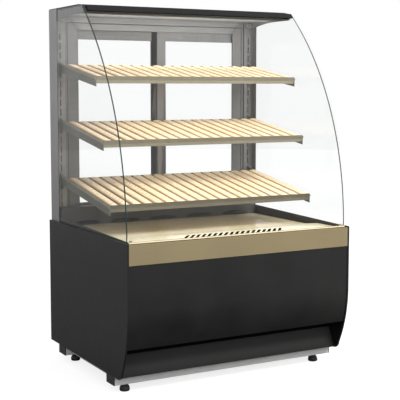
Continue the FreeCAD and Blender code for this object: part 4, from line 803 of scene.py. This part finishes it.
def soft_light(name, place, target, size, power, colour):
    """A rectangular soft box that faces a point and shows in neither glass nor gloss."""
    lamp = bpy.data.lights.new(name, "AREA")
    lamp.shape = "RECTANGLE"
    lamp.size, lamp.size_y = size
    lamp.energy = power
    lamp.color = colour
    item = bpy.data.objects.new(name, lamp)
    bpy.context.scene.collection.objects.link(item)
    item.location = place
    item.rotation_euler = (Vector(target) - Vector(place)).to_track_quat("-Z", "Y").to_euler()
    item.visible_camera = False
    item.visible_glossy = False
    item.visible_transmission = False


def studio_world():
    """White all round for the eye; as a light, bright above and darker below."""
    world = bpy.data.worlds.new("studio")
    bpy.context.scene.world = world
    world.use_nodes = True
    tree = world.node_tree
    tree.nodes.clear()
    output = tree.nodes.new("ShaderNodeOutputWorld")
    mix = tree.nodes.new("ShaderNodeMixShader")
    seen = tree.nodes.new("ShaderNodeBackground")
    seen.inputs["Color"].default_value = grey(1)
    seen.inputs["Strength"].default_value = 1.0
    light = tree.nodes.new("ShaderNodeBackground")
    light.inputs["Strength"].default_value = 0.85
    ramp = tree.nodes.new("ShaderNodeValToRGB")
    split = tree.nodes.new("ShaderNodeSeparateXYZ")
    place = tree.nodes.new("ShaderNodeTexCoord")
    path = tree.nodes.new("ShaderNodeLightPath")
    remap = tree.nodes.new("ShaderNodeMapRange")
    remap.inputs["From Min"].default_value = -1
    below, above = ramp.color_ramp.elements
    below.color, below.position = grey(0.25), 0.4
    above.color, above.position = grey(1), 0.52
    joints = (
        (place.outputs["Generated"], split.inputs[0]),
        (split.outputs["Z"], remap.inputs["Value"]),
        (remap.outputs["Result"], ramp.inputs["Fac"]),
        (ramp.outputs["Color"], light.inputs["Color"]),
        (path.outputs["Is Camera Ray"], mix.inputs[0]),
        (light.outputs[0], mix.inputs[1]),
        (seen.outputs[0], mix.inputs[2]),
        (mix.outputs[0], output.inputs["Surface"]),
    )
    for first, second in joints:
        tree.links.new(first, second)


FLOOR_RADIUS = 14
FLOOR_DROP = 0.5 * MM


def floor_look():
    """Pale and almost shadowless for the eye; as a light, dark close in front of the case."""
    pale = Finish("studio_floor")
    glow = pale.add("ShaderNodeEmission", {"Color": grey(1), "Strength": 0.8}).outputs[0]
    shadow = pale.add("ShaderNodeBsdfDiffuse", {"Color": grey(0.3)}).outputs[0]
    seen = pale.add("ShaderNodeAddShader", {0: glow, 1: shadow}).outputs[0]
    spot = pale.axes()
    ahead = pale.between(spot["Y"], -2.0, -1.1, 1, 0)
    aside = pale.between(pale.calc("ABSOLUTE", spot["X"]), 0.55, 0.95)
    behind = pale.between(spot["Y"], -0.4, -0.1)
    away = pale.calc("MAXIMUM", pale.calc("MAXIMUM", ahead, aside), behind)
    distance = pale.vector("LENGTH", pale.place).outputs["Value"]
    wide = pale.blend(pale.between(distance, 4, 12), grey(0.25), grey(0.8))
    unseen = pale.add("ShaderNodeBsdfDiffuse", {"Color": pale.blend(away, grey(0.04), wide)}).outputs[0]
    to_camera = pale.add("ShaderNodeLightPath").outputs["Is Camera Ray"]
    pale.fill(pale.output, {"Surface": pale.mix_shaders(to_camera, unseen, seen)})
    return pale.material


def floor():
    """A wide, round, pale studio floor."""
    mesh = bpy.data.meshes.new("floor")
    shape = bmesh.new()
    bmesh.ops.create_circle(shape, cap_ends=True, segments=96, radius=FLOOR_RADIUS)
    shape.to_mesh(mesh)
    shape.free()
    item = bpy.data.objects.new("floor", mesh)
    bpy.context.scene.collection.objects.link(item)
    item.location.z = -FLOOR_DROP
    mesh.materials.append(floor_look())


camera()
studio_world()
floor()

WHITE = (1, 1, 1)
SOFT_WHITE = (1, 0.985, 0.96)
LAMP_WHITE = (1, 0.98, 0.95)
WARM_WHITE = (1, 0.95, 0.85)
STRIP = (0.84, 0.02)
lamp_low, lamp_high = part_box("lamp_diffuser")
lamp_depth = (lamp_low.y + lamp_high.y) / 2
header_place = Vector((0, lamp_high.y + 0.03, lamp_low.z - 0.05))
# Each light's name, place, target, size, power in watts and colour.
LIGHTS = (
    ("key", (1.3, -2.8, 2.85), (0, 0, 0.9), (1.3, 0.9), 200, SOFT_WHITE),
    ("front_fill", (0.4, -3.6, 1.5), (0, 0, 0.9), (2.4, 1.2), 40, SOFT_WHITE),
    ("left_fill", (-2.6, -2.2, 2.0), (0, 0, 0.7), (1.8, 1.8), 26, WHITE),
    ("shelf_lamp", (0, lamp_depth, lamp_low.z - 6 * MM), (0, lamp_depth - 0.3, 0.6), STRIP, 0.25,
     WARM_WHITE),
    ("header_lamp", header_place, header_place + Vector((0, 0.27, 0.02)), STRIP, 1.7, LAMP_WHITE),
)
for light in LIGHTS:
    soft_light(*light)

bpy.context.scene.view_settings.view_transform = "Standard"
